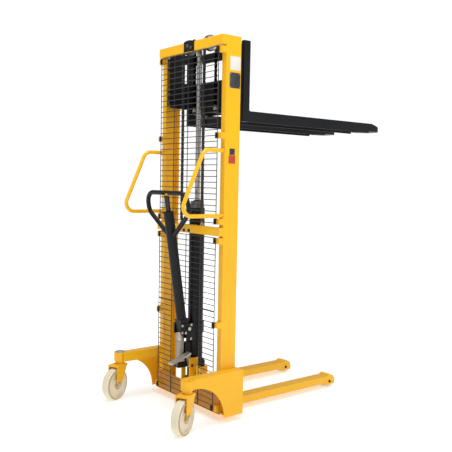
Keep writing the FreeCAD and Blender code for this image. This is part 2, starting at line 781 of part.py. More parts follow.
def rounded_bar(sign, inset, heel, tip, radius, height):
    """A level bar with two rounded corners at its tip, inset from the fork's sides."""
    near, far = f"fork_inside + {inset}", f"fork_outside - {inset}"
    whole = box(mirror_span(sign, near, far), (heel, f"{tip} - {radius}"), height)
    centre_x = mirror_span(sign, f"{near} + {radius}", f"{far} - {radius}")
    front = box(centre_x, (heel, tip), height)
    corners = [bar("Z", radius, (across, f"{tip} - {radius}"), height) for across in centre_x]
    return fuse(whole, front, *corners)


def carriage():
    """The fork carriage: side frames with roller stubs, cross plates and two channel-shaped forks."""
    for side, sign in SIDES:
        post = box(mirror_span(sign, "post_inside", "fork_outside"), ("post_back", "fork_heel"),
                   ("fork_base", "post_top"))
        plate_x = mirror_span(sign, "side_plate_inside", "side_plate_outside")
        plate = box(plate_x, ("roller_back - side_plate_nose", "post_back"),
                    ("side_plate_base", "side_plate_top"))
        window = box(plate_x, ("channel_depth", "post_back - side_window_margin"),
                     ("side_window_top - side_window_height", "side_window_top"))
        stub_x = mirror_span(sign, "side_plate_inside", "roller_outside")
        stubs = [bar("X", "roller_stub_diameter / 2", ("roller_back", height), stub_x)
                 for height in ("roller_lower_height", "roller_upper_height")]
        sub_part(f"{side}_carriage_side", fuse(post, cut(plate, window), *stubs))

        length = ("fork_heel", "fork_tip")
        blade = rounded_bar(sign, "0", *length, "fork_tip_radius", ("fork_base", "fork_top"))
        inside = rounded_bar(sign, "fork_gauge", "fork_heel", "fork_tip - fork_nose_length",
                             "fork_gauge", ("fork_base", "fork_roof"))
        across = mirror_span(sign, "fork_inside", "fork_outside")
        step = box(across, ("fork_tip - fork_step_length", "fork_tip"),
                   ("fork_base", "fork_base + fork_step_height"))
        slope = box(across, ("0", "2 * fork_nose_length"), ("0", "fork_depth"))
        turn(slope, Vector(-1, 0, 0), "fork_nose_slope")
        move(slope, across[0], "fork_tip - fork_nose_length", "fork_top")
        sub_part(f"{side}_fork", cut(blade, inside, step, slope))

        half, chamfer = "roller_width / 2", "roller_chamfer"
        bore = "roller_stub_diameter / 2 + running_gap"
        corners = [(f"-{half}", bore), (half, bore), (half, f"roller_radius - {chamfer}"),
                   (f"{half} - {chamfer}", "roller_radius"), (f"{chamfer} - {half}", "roller_radius"),
                   (f"-{half}", f"roller_radius - {chamfer}")]
        for level in ("lower", "upper"):
            roller = turned(corners)
            move(roller, f"{sign} * roller_middle", "roller_back", f"roller_{level}_height")
            sub_part(f"{side}_{level}_roller", roller)

    between = ("-post_inside", "post_inside")
    depth = ("plate_back", "fork_heel")
    sub_part("lower_plate", box(between, depth, ("fork_roof", "lower_plate_top")))
    sub_part("upper_bar", box(between, depth, ("upper_bar_base", "upper_bar_top")))


def net(low_x, high_x, columns, base_z, top_z):
    """A flat wire panel as one holed plate, with the wires' middles on the given borders."""
    wire = number("wire_gauge")
    front = -number("guard_front")
    rows = max(1, round((top_z - base_z) / number("guard_pitch")))
    step_x, step_z = (high_x - low_x) / columns, (top_z - base_z) / rows

    def loop(left, right, low, high):
        corners = [(left, low), (right, low), (right, high), (left, high), (left, low)]
        return Part.makePolygon([Vector(across, front, up) for across, up in corners])

    edge = wire / 2
    rings = [loop(low_x - edge, high_x + edge, base_z - edge, top_z + edge)]
    for column in range(columns):
        left = low_x + column * step_x
        for row in range(rows):
            low = base_z + row * step_z
            rings.append(loop(left + edge, left + step_x - edge, low + edge, low + step_z - edge))
    face = Part.makeFace(Part.makeCompound(rings), "Part::FaceMakerBullseye")
    return face.extrude(Vector(0, wire, 0))


def guard():
    """The wire guard in front of the lift gear, with its lugs and clips."""
    columns = round(number("guard_columns"))
    side_x = number("guard_side")
    notch_x = side_x * 2 / columns
    strip_columns = (columns - 2) // 2
    top_of_strip = number("guard_notch_top") - number("wire_gauge")
    upper = net(-side_x, side_x, columns, number("upper_guard_base"), number("upper_guard_top"))
    lower = net(-side_x, side_x, columns, number("guard_notch_top"), number("lower_guard_top"))
    sub_part("upper_guard", solid(upper))
    sub_part("lower_guard", solid(lower))
    for side, sign in SIDES:
        low_x, high_x = sorted((sign * side_x, sign * notch_x))
        strip = net(low_x, high_x, strip_columns, number("lower_guard_base"), top_of_strip)
        sub_part(f"{side}_guard_strip", solid(strip))

    lugs, clips = [], []
    half = "lug_height / 2"
    seats = [(f"upper_guard_top - {half}", "0"), ("(upper_guard_top + upper_guard_base) / 2", "0"),
             ("grab_bottom - grab_tube_diameter / 2 - lug_handle_gap - lug_height / 2", "0"),
             (f"lower_guard_top - {half}", "0"), ("(lower_guard_top + lower_guard_base) / 2", "0"),
             (f"lower_guard_base + {half}", "-cross_plate_gauge")]
    for side, sign in SIDES:
        for height, back in seats:
            span_z = (f"{height} - {half}", f"{height} + {half}")
            lug_x = mirror_span(sign, "guard_side - wire_gauge", "web_face")
            clip_x = mirror_span(sign, "guard_side + wire_gauge - clip_width", "guard_side + wire_gauge")
            lugs.append(box(lug_x, ("weld_gap - beam_depth", back), span_z))
            clip_depth = ("-(guard_front + weld_gap + clip_gauge)", "-(guard_front + weld_gap)")
            clips.append(box(clip_x, clip_depth, span_z))
    sub_part("guard_lugs", group(*lugs))
    sub_part("guard_clips", group(*clips))


def grab_handles():
    """Two bent tube handles welded to the front of the uprights."""
    tops, bottoms = number("grab_top"), number("grab_bottom")
    for side, sign in SIDES:
        across = sign * number("grab_side")
        points = [Vector(across, 0, tops), Vector(across, -number("grab_top_reach"), tops),
                  Vector(across, -number("grab_bottom_reach"), bottoms), Vector(across, 0, bottoms)]
        tube = bent_tube(points, number("grab_bend_radius"), number("grab_tube_diameter") / 2)
        sub_part(f"{side}_grab_handle", solid(tube))


def pump():
    """The hand pump in front of the cylinder, its bracket, plunger, ears and oil reservoir."""
    seat = "-(pump_block_half + weld_gap)"
    left_face = f"{seat} - pump_cheek_gauge"
    right_cheek = box(("cheek_inside", "cheek_outside"), ("-pump_cheek_front", "pump_cheek_back"),
                      ("cross_plate_top", "cheek_top"))
    left_cheek = box((left_face, seat), ("-pump_cheek_front", "-sliding_gap"),
                     ("cross_plate_top", "pump_block_top"))
    floor = box((left_face, "cheek_inside"), ("-pump_cheek_front", "0"),
                ("cross_plate_top", "cross_plate_top + pump_cheek_floor"))
    pedal_axis = ("-pedal_pivot_back", "pedal_pivot_height")
    pin = bar("X", "pedal_pin_diameter / 2", pedal_axis, ("pedal_near", "cheek_outside + pedal_pin_overhang"))
    sub_part("pump_bracket", fuse(right_cheek, left_cheek, floor, pin))

    block = box(("-pump_block_half", "pump_block_half"), ("-pump_block_front", "-sliding_gap"),
                ("pump_block_base", "pump_block_top"))
    body_x = ("-pump_body_width / 2", "pump_body_width / 2")
    body_y = ("pump_cylinder_diameter / 2 + sliding_gap - pump_back", "-sliding_gap")
    valve_body = box(body_x, body_y, ("pump_block_base", "pump_cylinder_top - pump_body_drop"))
    sub_part("pump_block", fuse(block, valve_body))

    axis = ("0", "-pump_back")
    body = bar("Z", "pump_cylinder_diameter / 2", axis, ("pump_block_top", "pump_cylinder_top"))
    bore = bar("Z", "plunger_radius + running_gap", axis, ("pump_bore_base", "pump_cylinder_top"))
    sub_part("pump_cylinder", cut(body, bore))
    shaft = bar("Z", "plunger_radius", axis, ("plunger_base", "plunger_top"))
    head = bar("Z", "plunger_head_diameter / 2", axis, ("plunger_shoulder", "plunger_top"))
    sub_part("pump_plunger", fuse(shaft, head))

    height = ("ear_base", "ear_top")
    around = ("0", "cylinder_back")
    collar = bar("Z", "collar_radius", around, height)
    plates = [box(mirror_span(sign, "ear_inside", "ear_outside"), ("-ear_front", "cylinder_back"), height)
              for _, sign in SIDES]
    plates += [box(mirror_span(sign, "ear_inside", "ear_outside"), ("-ear_skirt_front", "cylinder_back"),
                   ("skirt_base", "ear_base")) for _, sign in SIDES]
    room = bar("Z", "barrel_radius + weld_gap", around, ("skirt_base", "ear_top"))
    pin_side = "ear_outside + tiller_pin_overhang"
    pin = bar("X", "tiller_pin_diameter / 2", ("-tiller_pivot_back", "tiller_pivot_height"),
              (f"-({pin_side})", pin_side))
    sub_part("pump_ears", fuse(cut(fuse(collar, *plates), room), pin))

    tank = box(("reservoir_inside", "reservoir_inside + reservoir_width"),
               ("sliding_gap", "sliding_gap + reservoir_depth"), ("leg_top", "reservoir_top"))
    spot = ("filler_side", "filler_back")
    neck = bar("Z", "filler_neck_diameter / 2", spot, ("reservoir_top", "neck_top"))
    sub_part("oil_reservoir", fuse(tank, neck))
    cap = bar("Z", "filler_cap_diameter / 2", spot, ("neck_top", "neck_top + filler_cap_height"))
    sub_part("filler_cap", cap)


def tiller():
    """The pump tiller with its loop handle and release lever, leaning from the pivot pin."""
    def seat(item):
        turn(item, Vector(1, 0, 0), "tiller_lean")
        return move(item, "0", "-tiller_pivot_back", "tiller_pivot_height")

    axis = ("0", "-tiller_tube_offset")
    tube = bar("Z", "tiller_tube_radius", axis, ("tiller_block_top - tiller_tube_wall", "tiller_tube_top"))
    block = box(("-tiller_block_half", "tiller_block_half"), ("-tiller_block_front", "tiller_block_back"),
                ("-tiller_block_base", "tiller_block_top"))
    bore = bar("Z", "tiller_tube_bore", axis, ("tiller_block_top + tiller_tube_wall", "tiller_tube_top"))
    eye = bar("X", "tiller_pin_diameter / 2 + running_gap", ("0", "0"),
              ("-tiller_block_half", "tiller_block_half"))
    lever_axis = ("-tiller_tube_offset", "lever_pin_height")
    pin_reach = "tiller_tube_bore + tiller_tube_wall / 2"
    lever_pin = bar("X", "lever_pin_diameter / 2", lever_axis, (f"-({pin_reach})", pin_reach))
    sub_part("tiller_shaft", seat(fuse(cut(fuse(tube, block), bore, eye), lever_pin)))

    back = -number("tiller_tube_offset")
    wide, radius = number("loop_half_width"), number("loop_tube_diameter") / 2
    neck, shoulder, top = number("loop_neck"), number("loop_shoulder"), number("loop_top")
    route = [(0, neck), (-wide, shoulder), (-wide, top), (wide, top), (wide, shoulder), (0, neck)]
    points = [Vector(across, back, up) for across, up in route]
    ring = solid(bent_tube(points, number("loop_bend_radius"), radius))
    room = bar("Z", "tiller_tube_radius", axis, ("0", "loop_top"))
    sub_part("tiller_loop", seat(cut(ring, room)))

    half = "lever_width / 2"
    thick = ("-tiller_tube_offset - lever_gauge / 2", "lever_gauge / 2 - tiller_tube_offset")
    blade = box((f"-{half}", half), thick, ("lever_pin_height - lever_tail", "lever_top"))
    boss = bar("X", "lever_pin_diameter", lever_axis, (f"-{half}", half))
    eye = bar("X", "lever_pin_diameter / 2 + running_gap", lever_axis, (f"-{half}", half))
    sub_part("release_lever", seat(cut(fuse(blade, boss), eye)))


def foot_pedal():
    """The foot pedal: a hub on its pin between pump and bracket, with a tread plate above it on a web."""
    across = ("pedal_near", "pedal_hub_far")
    boss = bar("X", "pedal_boss_diameter / 2", ("0", "0"), across)
    web = box(across, ("-pedal_web_width / 2", "pedal_web_width / 2"), ("0", "pedal_tread_rise"))
    tread = box(("pedal_near", "pedal_near + pedal_width"),
                ("pedal_tread_tail - pedal_length", "pedal_tread_tail"),
                ("pedal_tread_rise - pedal_gauge / 2", "pedal_tread_rise + pedal_gauge / 2"))
    eye = bar("X", "pedal_pin_diameter / 2 + running_gap", ("0", "0"), across)
    pedal = turn(cut(fuse(boss, web, tread), eye), Vector(1, 0, 0), "pedal_slope")
    sub_part("foot_pedal", move(pedal, "0", "-pedal_pivot_back", "pedal_pivot_height"))


def check_and_write():
    """Stops at a failed object, then writes one STEP file for each sub-part."""
    doc.recompute()
    for item in doc.Objects:
        if {"Invalid", "Error"} & set(item.State):
            raise RuntimeError(f"{item.Label} failed: {item.State}")
    os.makedirs("parts", exist_ok=True)
    for label, item in nodes.items():
        shape = item.Shape
        if shape.isNull() or not shape.isValid() or shape.Volume <= 0:
            raise RuntimeError(f"{label} has no valid solid")
        shape.exportStep(f"parts/{label}.step")
        print(f"{label}: {len(shape.Solids)} solid, {shape.Volume / 1000:.1f} cm3")


uprights()
cross_members()
base()
casters()
legs()
lift_cylinder()
lift_chains()
carriage()
guard()
grab_handles()
pump()
tiller()
foot_pedal()
check_and_write()
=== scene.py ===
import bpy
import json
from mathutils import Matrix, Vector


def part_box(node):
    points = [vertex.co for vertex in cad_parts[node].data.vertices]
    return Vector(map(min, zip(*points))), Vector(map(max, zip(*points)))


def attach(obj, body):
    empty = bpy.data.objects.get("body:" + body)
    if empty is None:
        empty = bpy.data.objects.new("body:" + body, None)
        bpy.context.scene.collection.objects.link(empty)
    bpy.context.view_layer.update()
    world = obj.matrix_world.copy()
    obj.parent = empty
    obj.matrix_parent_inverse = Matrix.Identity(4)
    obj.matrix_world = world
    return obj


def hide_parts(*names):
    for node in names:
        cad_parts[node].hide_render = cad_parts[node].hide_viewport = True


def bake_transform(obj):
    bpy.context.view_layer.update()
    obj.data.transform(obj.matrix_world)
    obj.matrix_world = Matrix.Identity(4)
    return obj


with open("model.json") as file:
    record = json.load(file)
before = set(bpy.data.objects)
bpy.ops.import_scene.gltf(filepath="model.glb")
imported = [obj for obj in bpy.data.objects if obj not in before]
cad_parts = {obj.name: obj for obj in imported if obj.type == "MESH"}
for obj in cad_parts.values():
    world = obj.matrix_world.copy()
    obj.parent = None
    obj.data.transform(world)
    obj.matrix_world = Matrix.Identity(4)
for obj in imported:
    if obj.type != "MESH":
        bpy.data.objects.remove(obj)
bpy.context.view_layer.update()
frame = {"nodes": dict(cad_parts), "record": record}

import json
import logging
import math
from dataclasses import dataclass, field
from enum import Enum
from typing import Any, Sequence

import bmesh
import bpy
import numpy as np
from mathutils import Matrix, Vector

LOG = logging.getLogger("pallet_stacker")
Range = tuple[float, float]
Point = tuple[float, float, float]
Colour = tuple[float, float, float]
Path = Sequence[Sequence[float]]
Socket = bpy.types.NodeSocket
Tree = bpy.types.NodeTree
Material = bpy.types.Material
Piece = bpy.types.Object

SHARP_EDGE = 35.0
ON_AXIS = 1e-6
SAME_POINT = 1e-6
LUG_HEIGHTS = (2.004, 1.550, 1.089, 0.984, 0.525, 0.066)
TILLER_PIVOT = (0.0, -0.024, 0.460)
RIGHT_CHEEK = 0.052
BEAD_LIFT = 0.0012


class Facing(Enum):
    """The way a piece looks, as a unit direction."""

    RIGHT = (1.0, 0.0, 0.0)
    LEFT = (-1.0, 0.0, 0.0)
    FRONT = (0.0, -1.0, 0.0)
    UP = (0.0, 0.0, 1.0)


class Side(Enum):
    """A side of the part, by its sign along X."""

    LEFT = -1
    RIGHT = 1

    @property
    def word(self) -> str:
        """The side's name in the names of pieces and bodies."""
        return self.name.lower()

    @property
    def outward(self) -> Facing:
        """The way from the middle to this side."""
        return Facing[self.name]

    @property
    def inward(self) -> Facing:
        """The way from this side to the middle."""
        return Facing.LEFT if self is Side.RIGHT else Facing.RIGHT


class Slot(Enum):
    """The finishes of the part, by the record's slot names."""

    YELLOW = "yellow_paint"
    BLACK = "black_paint"
    WIRE = "guard_wire"
    CHROME = "chrome_steel"
    PLATED = "plated_steel"
    CHAIN = "chain_steel"
    CAST = "cast_steel"
    NYLON = "cream_nylon"
    PLASTIC = "black_plastic"


@dataclass(frozen=True)
class Box:
    """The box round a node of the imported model."""

    low: Vector
    high: Vector

    @property
    def middle(self) -> Vector:
        """The box's middle."""
        return (self.low + self.high) / 2

    @property
    def size(self) -> Vector:
        """The box's size along each axis."""
        return self.high - self.low


def node_box(node: str) -> Any:
    """Gives a dataclass field that holds the box of a node."""
    return field(default_factory=lambda: Box(*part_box(node)))


class NodeMaker:
    """Adds nodes to a node tree and wires them up."""

    def __init__(self, tree: Tree) -> None:
        """Takes the tree to build in."""
        self.tree = tree

    def add(self, kind: str, inputs: dict[Any, Any] | None = None, **settings: Any) -> bpy.types.Node:
        """Adds one node.

        Args:
            kind: The node's type name.
            inputs: Values or sockets for its inputs, by name or index.
            settings: Properties of the node itself.

        Returns:
            The new node.
        """
        node = self.tree.nodes.new(kind)
        for name, value in settings.items():
            setattr(node, name, value)
        for name, value in (inputs or {}).items():
            if isinstance(value, Socket):
                self.tree.links.new(value, node.inputs[name])
            else:
                node.inputs[name].default_value = value
        return node

    def out(self, kind: str, inputs: dict[Any, Any] | None = None, **settings: Any) -> Socket:
        """Adds one node and returns its first output."""
        return self.add(kind, inputs, **settings).outputs[0]

    def math(self, operation: str, first: Any, second: Any = 0.0, clamp: bool = False) -> Socket:
        """Adds a math node and returns its result."""
        return self.out("ShaderNodeMath", {0: first, 1: second}, operation=operation, use_clamp=clamp)

    def times(self, first: Any, second: Any) -> Socket:
        """Multiplies two values and returns the result."""
        return self.math("MULTIPLY", first, second)

    def ramp(self, value: Any, low: float, high: float, to_low: float = 0.0, to_high: float = 1.0) -> Socket:
        """Maps a value from one range to another, clamped, and returns the result."""
        given = {"Value": value, "From Min": low, "From Max": high, "To Min": to_low, "To Max": to_high}
        return self.out("ShaderNodeMapRange", given)

    def mix(self, factor: Any, first: Any, second: Any) -> Socket:
        """Mixes two colours and returns the result."""
        colours = [value if isinstance(value, Socket) else (*value, 1.0) for value in (first, second)]
        given = {0: factor, 6: colours[0], 7: colours[1]}
        return self.add("ShaderNodeMix", given, data_type="RGBA").outputs[2]

    def noise(self, place: Any, scale: Any, detail: float = 3.0) -> Socket:
        """Adds a noise texture and returns its value."""
        return self.out("ShaderNodeTexNoise", {"Vector": place, "Scale": scale, "Detail": detail})

    def point(self, x: Any = 0.0, y: Any = 0.0, z: Any = 0.0) -> Socket:
        """Joins three values into a vector and returns it."""
        return self.out("ShaderNodeCombineXYZ", {0: x, 1: y, 2: z})


@dataclass
class SkinGroups:
    """The surface effects that several finishes share, each built once."""

    bevel_samples: int = 4
    edge_range: Range = (0.995, 0.86)
    chip_scale: float = 38.0
    chip_range: Range = (0.48, 0.66)
    tone_scale: float = 3.1
    tone_range: Range = (0.3, 0.7)
    speck_scale: float = 260.0
    speck_range: Range = (0.7, 0.76)
    dust_slope: Range = (0.3, 1.0)
    dust_reach: float = 0.3
    dust_low: float = 0.5
    dust_scale: float = 11.0
    dust_range: Range = (0.35, 0.75)

    def __post_init__(self) -> None:
        """Builds every group."""
        self.edge_wear = self._edge_wear()
        self.mottle = self._mottle()
        self.dust = self._dust()
        self.drawn = self._drawn()

    @staticmethod
    def _begin(name: str, inputs: dict[str, str], *outputs: str) -> tuple[NodeMaker, Any]:
        """Starts a group that reads a place.

        Args:
            name: The group's name.
            inputs: The socket kind of each further input, by name.
            outputs: Names of its value outputs.

        Returns:
            The group's node maker and its inputs' sockets.
        """
        tree = bpy.data.node_groups.new(name, "ShaderNodeTree")
        for label, kind in {"Place": "Vector", **inputs}.items():
            tree.interface.new_socket(label, in_out="INPUT", socket_type=f"NodeSocket{kind}")
        for label in outputs:
            tree.interface.new_socket(label, in_out="OUTPUT", socket_type="NodeSocketFloat")
        maker = NodeMaker(tree)
        return maker, maker.add("NodeGroupInput").outputs

    @staticmethod
    def _end(maker: NodeMaker, **results: Socket) -> Tree:
        """Leads the results to the group's outputs and returns the group."""
        maker.add("NodeGroupOutput", results)
        return maker.tree

    def _edge_wear(self) -> Tree:
        """A mask of the rubbed outer edges, broken up by noise.

        Returns:
            The group.
        """
        maker, given = self._begin("edge_wear", {"Width": "Float", "Amount": "Float"}, "Mask")
        soft = maker.out("ShaderNodeBevel", {"Radius": given["Width"]}, samples=self.bevel_samples)
        flat = maker.add("ShaderNodeNewGeometry").outputs["Normal"]
        likeness = maker.add("ShaderNodeVectorMath", {0: soft, 1: flat}, operation="DOT_PRODUCT")
        edge = maker.ramp(likeness.outputs["Value"], *self.edge_range)
        chips = maker.ramp(maker.noise(given["Place"], self.chip_scale, 6.0), *self.chip_range)
        worn = maker.math("MULTIPLY", maker.times(edge, chips), given["Amount"], clamp=True)
        return self._end(maker, Mask=worn)

    def _mottle(self) -> Tree:
        """Broad tone changes, a fine sprayed skin and sparse specks.

        Returns:
            The group.
        """
        maker, given = self._begin("mottle", {"Fine Scale": "Float"}, "Tone", "Height", "Specks")
        tone = maker.ramp(maker.noise(given["Place"], self.tone_scale, 4.0), *self.tone_range)
        height = maker.noise(given["Place"], given["Fine Scale"], 2.0)
        specks = maker.ramp(maker.noise(given["Place"], self.speck_scale, 1.0), *self.speck_range)
        return self._end(maker, Tone=tone, Height=height, Specks=specks)

    def _dust(self) -> Tree:
        """A mask of the dust on faces that look up and near the floor.

        Returns:
            The group.
        """
        maker, given = self._begin("dust_film", {"Amount": "Float"}, "Mask")
        normal = maker.add("ShaderNodeNewGeometry").outputs["Normal"]
        up = maker.ramp(maker.add("ShaderNodeSeparateXYZ", {0: normal}).outputs["Z"], *self.dust_slope)
        height = maker.add("ShaderNodeSeparateXYZ", {0: given["Place"]}).outputs["Z"]
        low = maker.ramp(height, self.dust_reach, 0.0, 0.0, self.dust_low)
        cloud = maker.ramp(maker.noise(given["Place"], self.dust_scale, 5.0), *self.dust_range)
        film = maker.times(maker.math("ADD", up, low, clamp=True), cloud)
        return self._end(maker, Mask=maker.times(film, given["Amount"]))

    def _drawn(self) -> Tree:
        """Fine drawn or turned lines across a metal.

        Returns:
            The group.
        """
        maker, given = self._begin("drawn_lines", {"Stretch": "Vector"}, "Tone", "Height")
        factors = {0: given["Place"], 1: given["Stretch"]}
        thin = maker.out("ShaderNodeVectorMath", factors, operation="MULTIPLY")
        lines = maker.noise(thin, 1.0, 4.0)
        return self._end(maker, Tone=maker.ramp(lines, *self.tone_range), Height=lines)


@dataclass(frozen=True)
class Finish:
    """A surface: its colours, gloss and the strength of each shared effect."""

    name: str
    colour: Colour
    shade: Colour
    roughness: float
    metallic: float = 0.0
    coat: float = 0.0
    coat_roughness: float = 0.12
    specular: float = 0.5
    worn_colour: Colour = (0.11, 0.10, 0.09)
    worn: float = 0.0
    worn_width: float = 0.003
    dust: float = 0.0
    dust_colour: Colour = (0.42, 0.38, 0.32)
    dust_roughness: float = 0.4
    peel: float = 0.04
    peel_scale: float = 420.0
    peel_depth: float = 0.0012
    stretch: Point | None = None
    tone: float = 0.6
    specks: float = 0.35
    gloss_spread: Range = (0.86, 1.18)

    def material(self, groups: SkinGroups) -> Material:
        """Builds the node material.

        Args:
            groups: The shared effects.

        Returns:
            The material.
        """
        made = bpy.data.materials.new(self.name)
        made.use_nodes = True
        made.node_tree.nodes.clear()
        maker = NodeMaker(made.node_tree)
        place = maker.add("ShaderNodeTexCoord").outputs["Object"]

        def effect(group: Tree, values: dict[str, Any]) -> Any:
            """Places a shared effect with its own values and returns its outputs."""
            return maker.add("ShaderNodeGroup", {"Place": place, **values}, node_tree=group).outputs

        skin = effect(groups.mottle, {"Fine Scale": self.peel_scale})
        lines = effect(groups.drawn, {"Stretch": self.stretch}) if self.stretch else skin
        tone, height = lines["Tone"], lines["Height"]
        base = maker.mix(maker.times(tone, self.tone), self.colour, self.shade)
        base = maker.mix(maker.times(skin["Specks"], self.specks), base, self.shade)
        glossy, dull = (min(1.0, self.roughness * share) for share in self.gloss_spread)
        rough = maker.ramp(tone, 0.0, 1.0, glossy, dull)
        if self.worn:
            rubbed = effect(groups.edge_wear, {"Width": self.worn_width, "Amount": self.worn})
            base = maker.mix(rubbed["Mask"], base, self.worn_colour)
        if self.dust:
            film = effect(groups.dust, {"Amount": self.dust})["Mask"]
            base = maker.mix(film, base, self.dust_colour)
            rough = maker.math("ADD", rough, maker.times(film, self.dust_roughness), clamp=True)
        bump = {"Height": height, "Strength": self.peel, "Distance": self.peel_depth}
        shader = maker.out("ShaderNodeBsdfPrincipled", {
            "Base Color": base, "Roughness": rough, "Metallic": self.metallic,
            "Normal": maker.out("ShaderNodeBump", bump), "Coat Weight": self.coat,
            "Coat Roughness": self.coat_roughness, "Specular IOR Level": self.specular})
        maker.add("ShaderNodeOutputMaterial", {"Surface": shader})
        return made


FINISHES = {
    Slot.YELLOW: Finish(
        "yellow_paint", (0.93, 0.50, 0.010), (0.87, 0.43, 0.006), 0.34, coat=0.12, specular=0.28, worn=0.30,
        worn_colour=(0.30, 0.17, 0.05), dust=0.08, peel=0.05),
    Slot.BLACK: Finish(
        "black_paint", (0.0065, 0.007, 0.008), (0.012, 0.013, 0.015), 0.42, specular=0.22, worn=0.35,
        worn_colour=(0.06, 0.06, 0.06), dust=0.05, peel=0.06),
    Slot.WIRE: Finish(
        "guard_wire", (0.020, 0.021, 0.023), (0.045, 0.046, 0.048), 0.45, specular=0.35, dust=0.1, peel=0.05),
    Slot.CHROME: Finish(
        "chrome_steel", (0.55, 0.55, 0.55), (0.45, 0.45, 0.45), 0.18, metallic=0.9,
        stretch=(60.0, 60.0, 900.0), peel=0.012),
    Slot.PLATED: Finish(
        "plated_steel", (0.62, 0.60, 0.55), (0.50, 0.48, 0.43), 0.38, metallic=0.85,
        stretch=(220.0, 90.0, 500.0), peel=0.03, dust=0.12, worn=0.25, worn_colour=(0.75, 0.74, 0.71)),
    Slot.CHAIN: Finish(
        "chain_steel", (0.060, 0.056, 0.052), (0.115, 0.105, 0.095), 0.36, metallic=0.8, peel=0.05),
    Slot.CAST: Finish(
        "cast_steel", (0.20, 0.20, 0.21), (0.12, 0.12, 0.125), 0.40, metallic=0.9,
        stretch=(500.0, 120.0, 120.0), peel=0.03),
    Slot.NYLON: Finish(
        "cream_nylon", (0.84, 0.76, 0.58), (0.76, 0.67, 0.48), 0.42, specular=0.45, dust=0.25,
        dust_colour=(0.36, 0.31, 0.24), worn=0.25, worn_colour=(0.62, 0.54, 0.40), peel=0.06,
        peel_scale=260.0),
    Slot.PLASTIC: Finish(
        "black_plastic", (0.014, 0.014, 0.015), (0.024, 0.024, 0.025), 0.48, specular=0.4, peel=0.16,
        peel_scale=900.0, dust=0.1),
}
NODE_FINISHES = {
    # The cross plate's yellow is darkened to brown to paint the shade that falls on it behind the guard
    # wires.
    "lower_cross_plate": Finish(
        "painted_shade_yellow_paint", (0.60, 0.26, 0.022), (0.50, 0.19, 0.018), 0.42, specular=0.2, worn=0.30,
        worn_colour=(0.20, 0.11, 0.04), dust=0.10, peel=0.05),
    "pump_cylinder": Finish(
        "dull_steel", (0.36, 0.34, 0.31), (0.27, 0.255, 0.235), 0.42, metallic=0.85,
        stretch=(220.0, 220.0, 60.0), peel=0.03, dust=0.15, worn=0.25, worn_colour=(0.60, 0.58, 0.55)),
}
PALE_PLATE = Finish("pale_plate", (0.80, 0.76, 0.70), (0.70, 0.66, 0.60), 0.40, specular=0.4, worn=0.3,
                    worn_colour=(0.55, 0.50, 0.44), dust=0.1)
DARK_PLATE = Finish("dark_plate", (0.030, 0.032, 0.040), (0.045, 0.047, 0.055), 0.36, specular=0.4, worn=0.4,
                    worn_colour=(0.30, 0.30, 0.30))
RED_PLATE = Finish("red_plate", (0.52, 0.055, 0.020), (0.42, 0.040, 0.015), 0.40, specular=0.4, worn=0.3,
                   worn_colour=(0.60, 0.25, 0.15))
# Dark brown rings at the wheels' tread and hub seams, painting the shade in those recesses.
SEAM_SHADE_NYLON = Finish("aged_nylon", (0.46, 0.34, 0.19), (0.36, 0.25, 0.13), 0.50, specular=0.35, dust=0.2,
                    peel=0.06, peel_scale=260.0)
RUBBER = Finish("seal_rubber", (0.010, 0.010, 0.010), (0.018, 0.018, 0.018), 0.62, specular=0.3, peel=0.1,
                peel_scale=700.0)


class Palette:
    """Every material of the part, made once from its finish."""

    def __init__(self) -> None:
        """Builds the materials."""
        groups = SkinGroups()
        self._slots = {slot: finish.material(groups) for slot, finish in FINISHES.items()}
        self._nodes = {node: finish.material(groups) for node, finish in NODE_FINISHES.items()}
        self.pale, self.dark, self.red, self.aged, self.rubber = (
            finish.material(groups) for finish in (PALE_PLATE, DARK_PLATE, RED_PLATE, SEAM_SHADE_NYLON, RUBBER))

    def __getitem__(self, slot: Slot) -> Material:
        """Gives the material of a slot."""
        return self._slots[slot]

    def dress_nodes(self) -> None:
        """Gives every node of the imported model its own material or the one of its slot."""
        for row in frame["record"]["subparts"]:
            mesh = frame["nodes"][row["node"]].data
            mesh.materials.clear()
            mesh.materials.append(self._nodes.get(row["node"], self[Slot(row["material_slot"])]))
            LOG.info("dressed %s in %s", row["node"], row["material_slot"])


def shown(name: str, mesh: bpy.types.Mesh, material: Material | None = None,
          crease: float = SHARP_EDGE) -> Piece:
    """Puts a finished mesh into the scene.

    Args:
        name: The piece's name.
        mesh: Its mesh, in place.
        material: Its material, where the mesh has none yet.
        crease: The angle in degrees from which an edge stays sharp.

    Returns:
        The piece.
    """
    piece = bpy.data.objects.new(name, mesh)
    bpy.context.scene.collection.objects.link(piece)
    if material:
        mesh.materials.append(material)
    mesh.shade_smooth()
    mesh.set_sharp_from_angle(angle=math.radians(crease))
    return piece


def closed(name: str, shape: bmesh.types.BMesh, material: Material) -> Piece:
    """Turns a shape's faces outwards, puts it into the scene as a piece and frees it.

    Args:
        name: The piece's name.
        shape: The shape.
        material: The piece's material.

    Returns:
        The piece.
    """
    bmesh.ops.recalc_face_normals(shape, faces=shape.faces)
    mesh = bpy.data.meshes.new(name)
    shape.to_mesh(mesh)
    shape.free()
    return shown(name, mesh, material)


def settle(piece: Piece, body: str, slot: Slot | None, *stands_for: str) -> Piece:
    """Rides a piece on a body, hides the nodes it stands for, and reports it.

    Args:
        piece: The piece.
        body: The body that carries it.
        slot: Its finish, if it is one of the record's. Not used.
        stands_for: The nodes it stands for.

    Returns:
        The piece.
    """
    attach(piece, body)
    if stands_for:
        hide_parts(*stands_for)
    LOG.info("made %s on %s with %d faces", piece.name, body, len(piece.data.polygons))
    return piece


def pointed(place: Sequence[float], facing: Sequence[float]) -> Matrix:
    """Gives the placement that turns a piece's own Z axis to a direction."""
    turn = Vector(Facing.UP.value).rotation_difference(Vector(facing))
    return Matrix.Translation(place) @ turn.to_matrix().to_4x4()


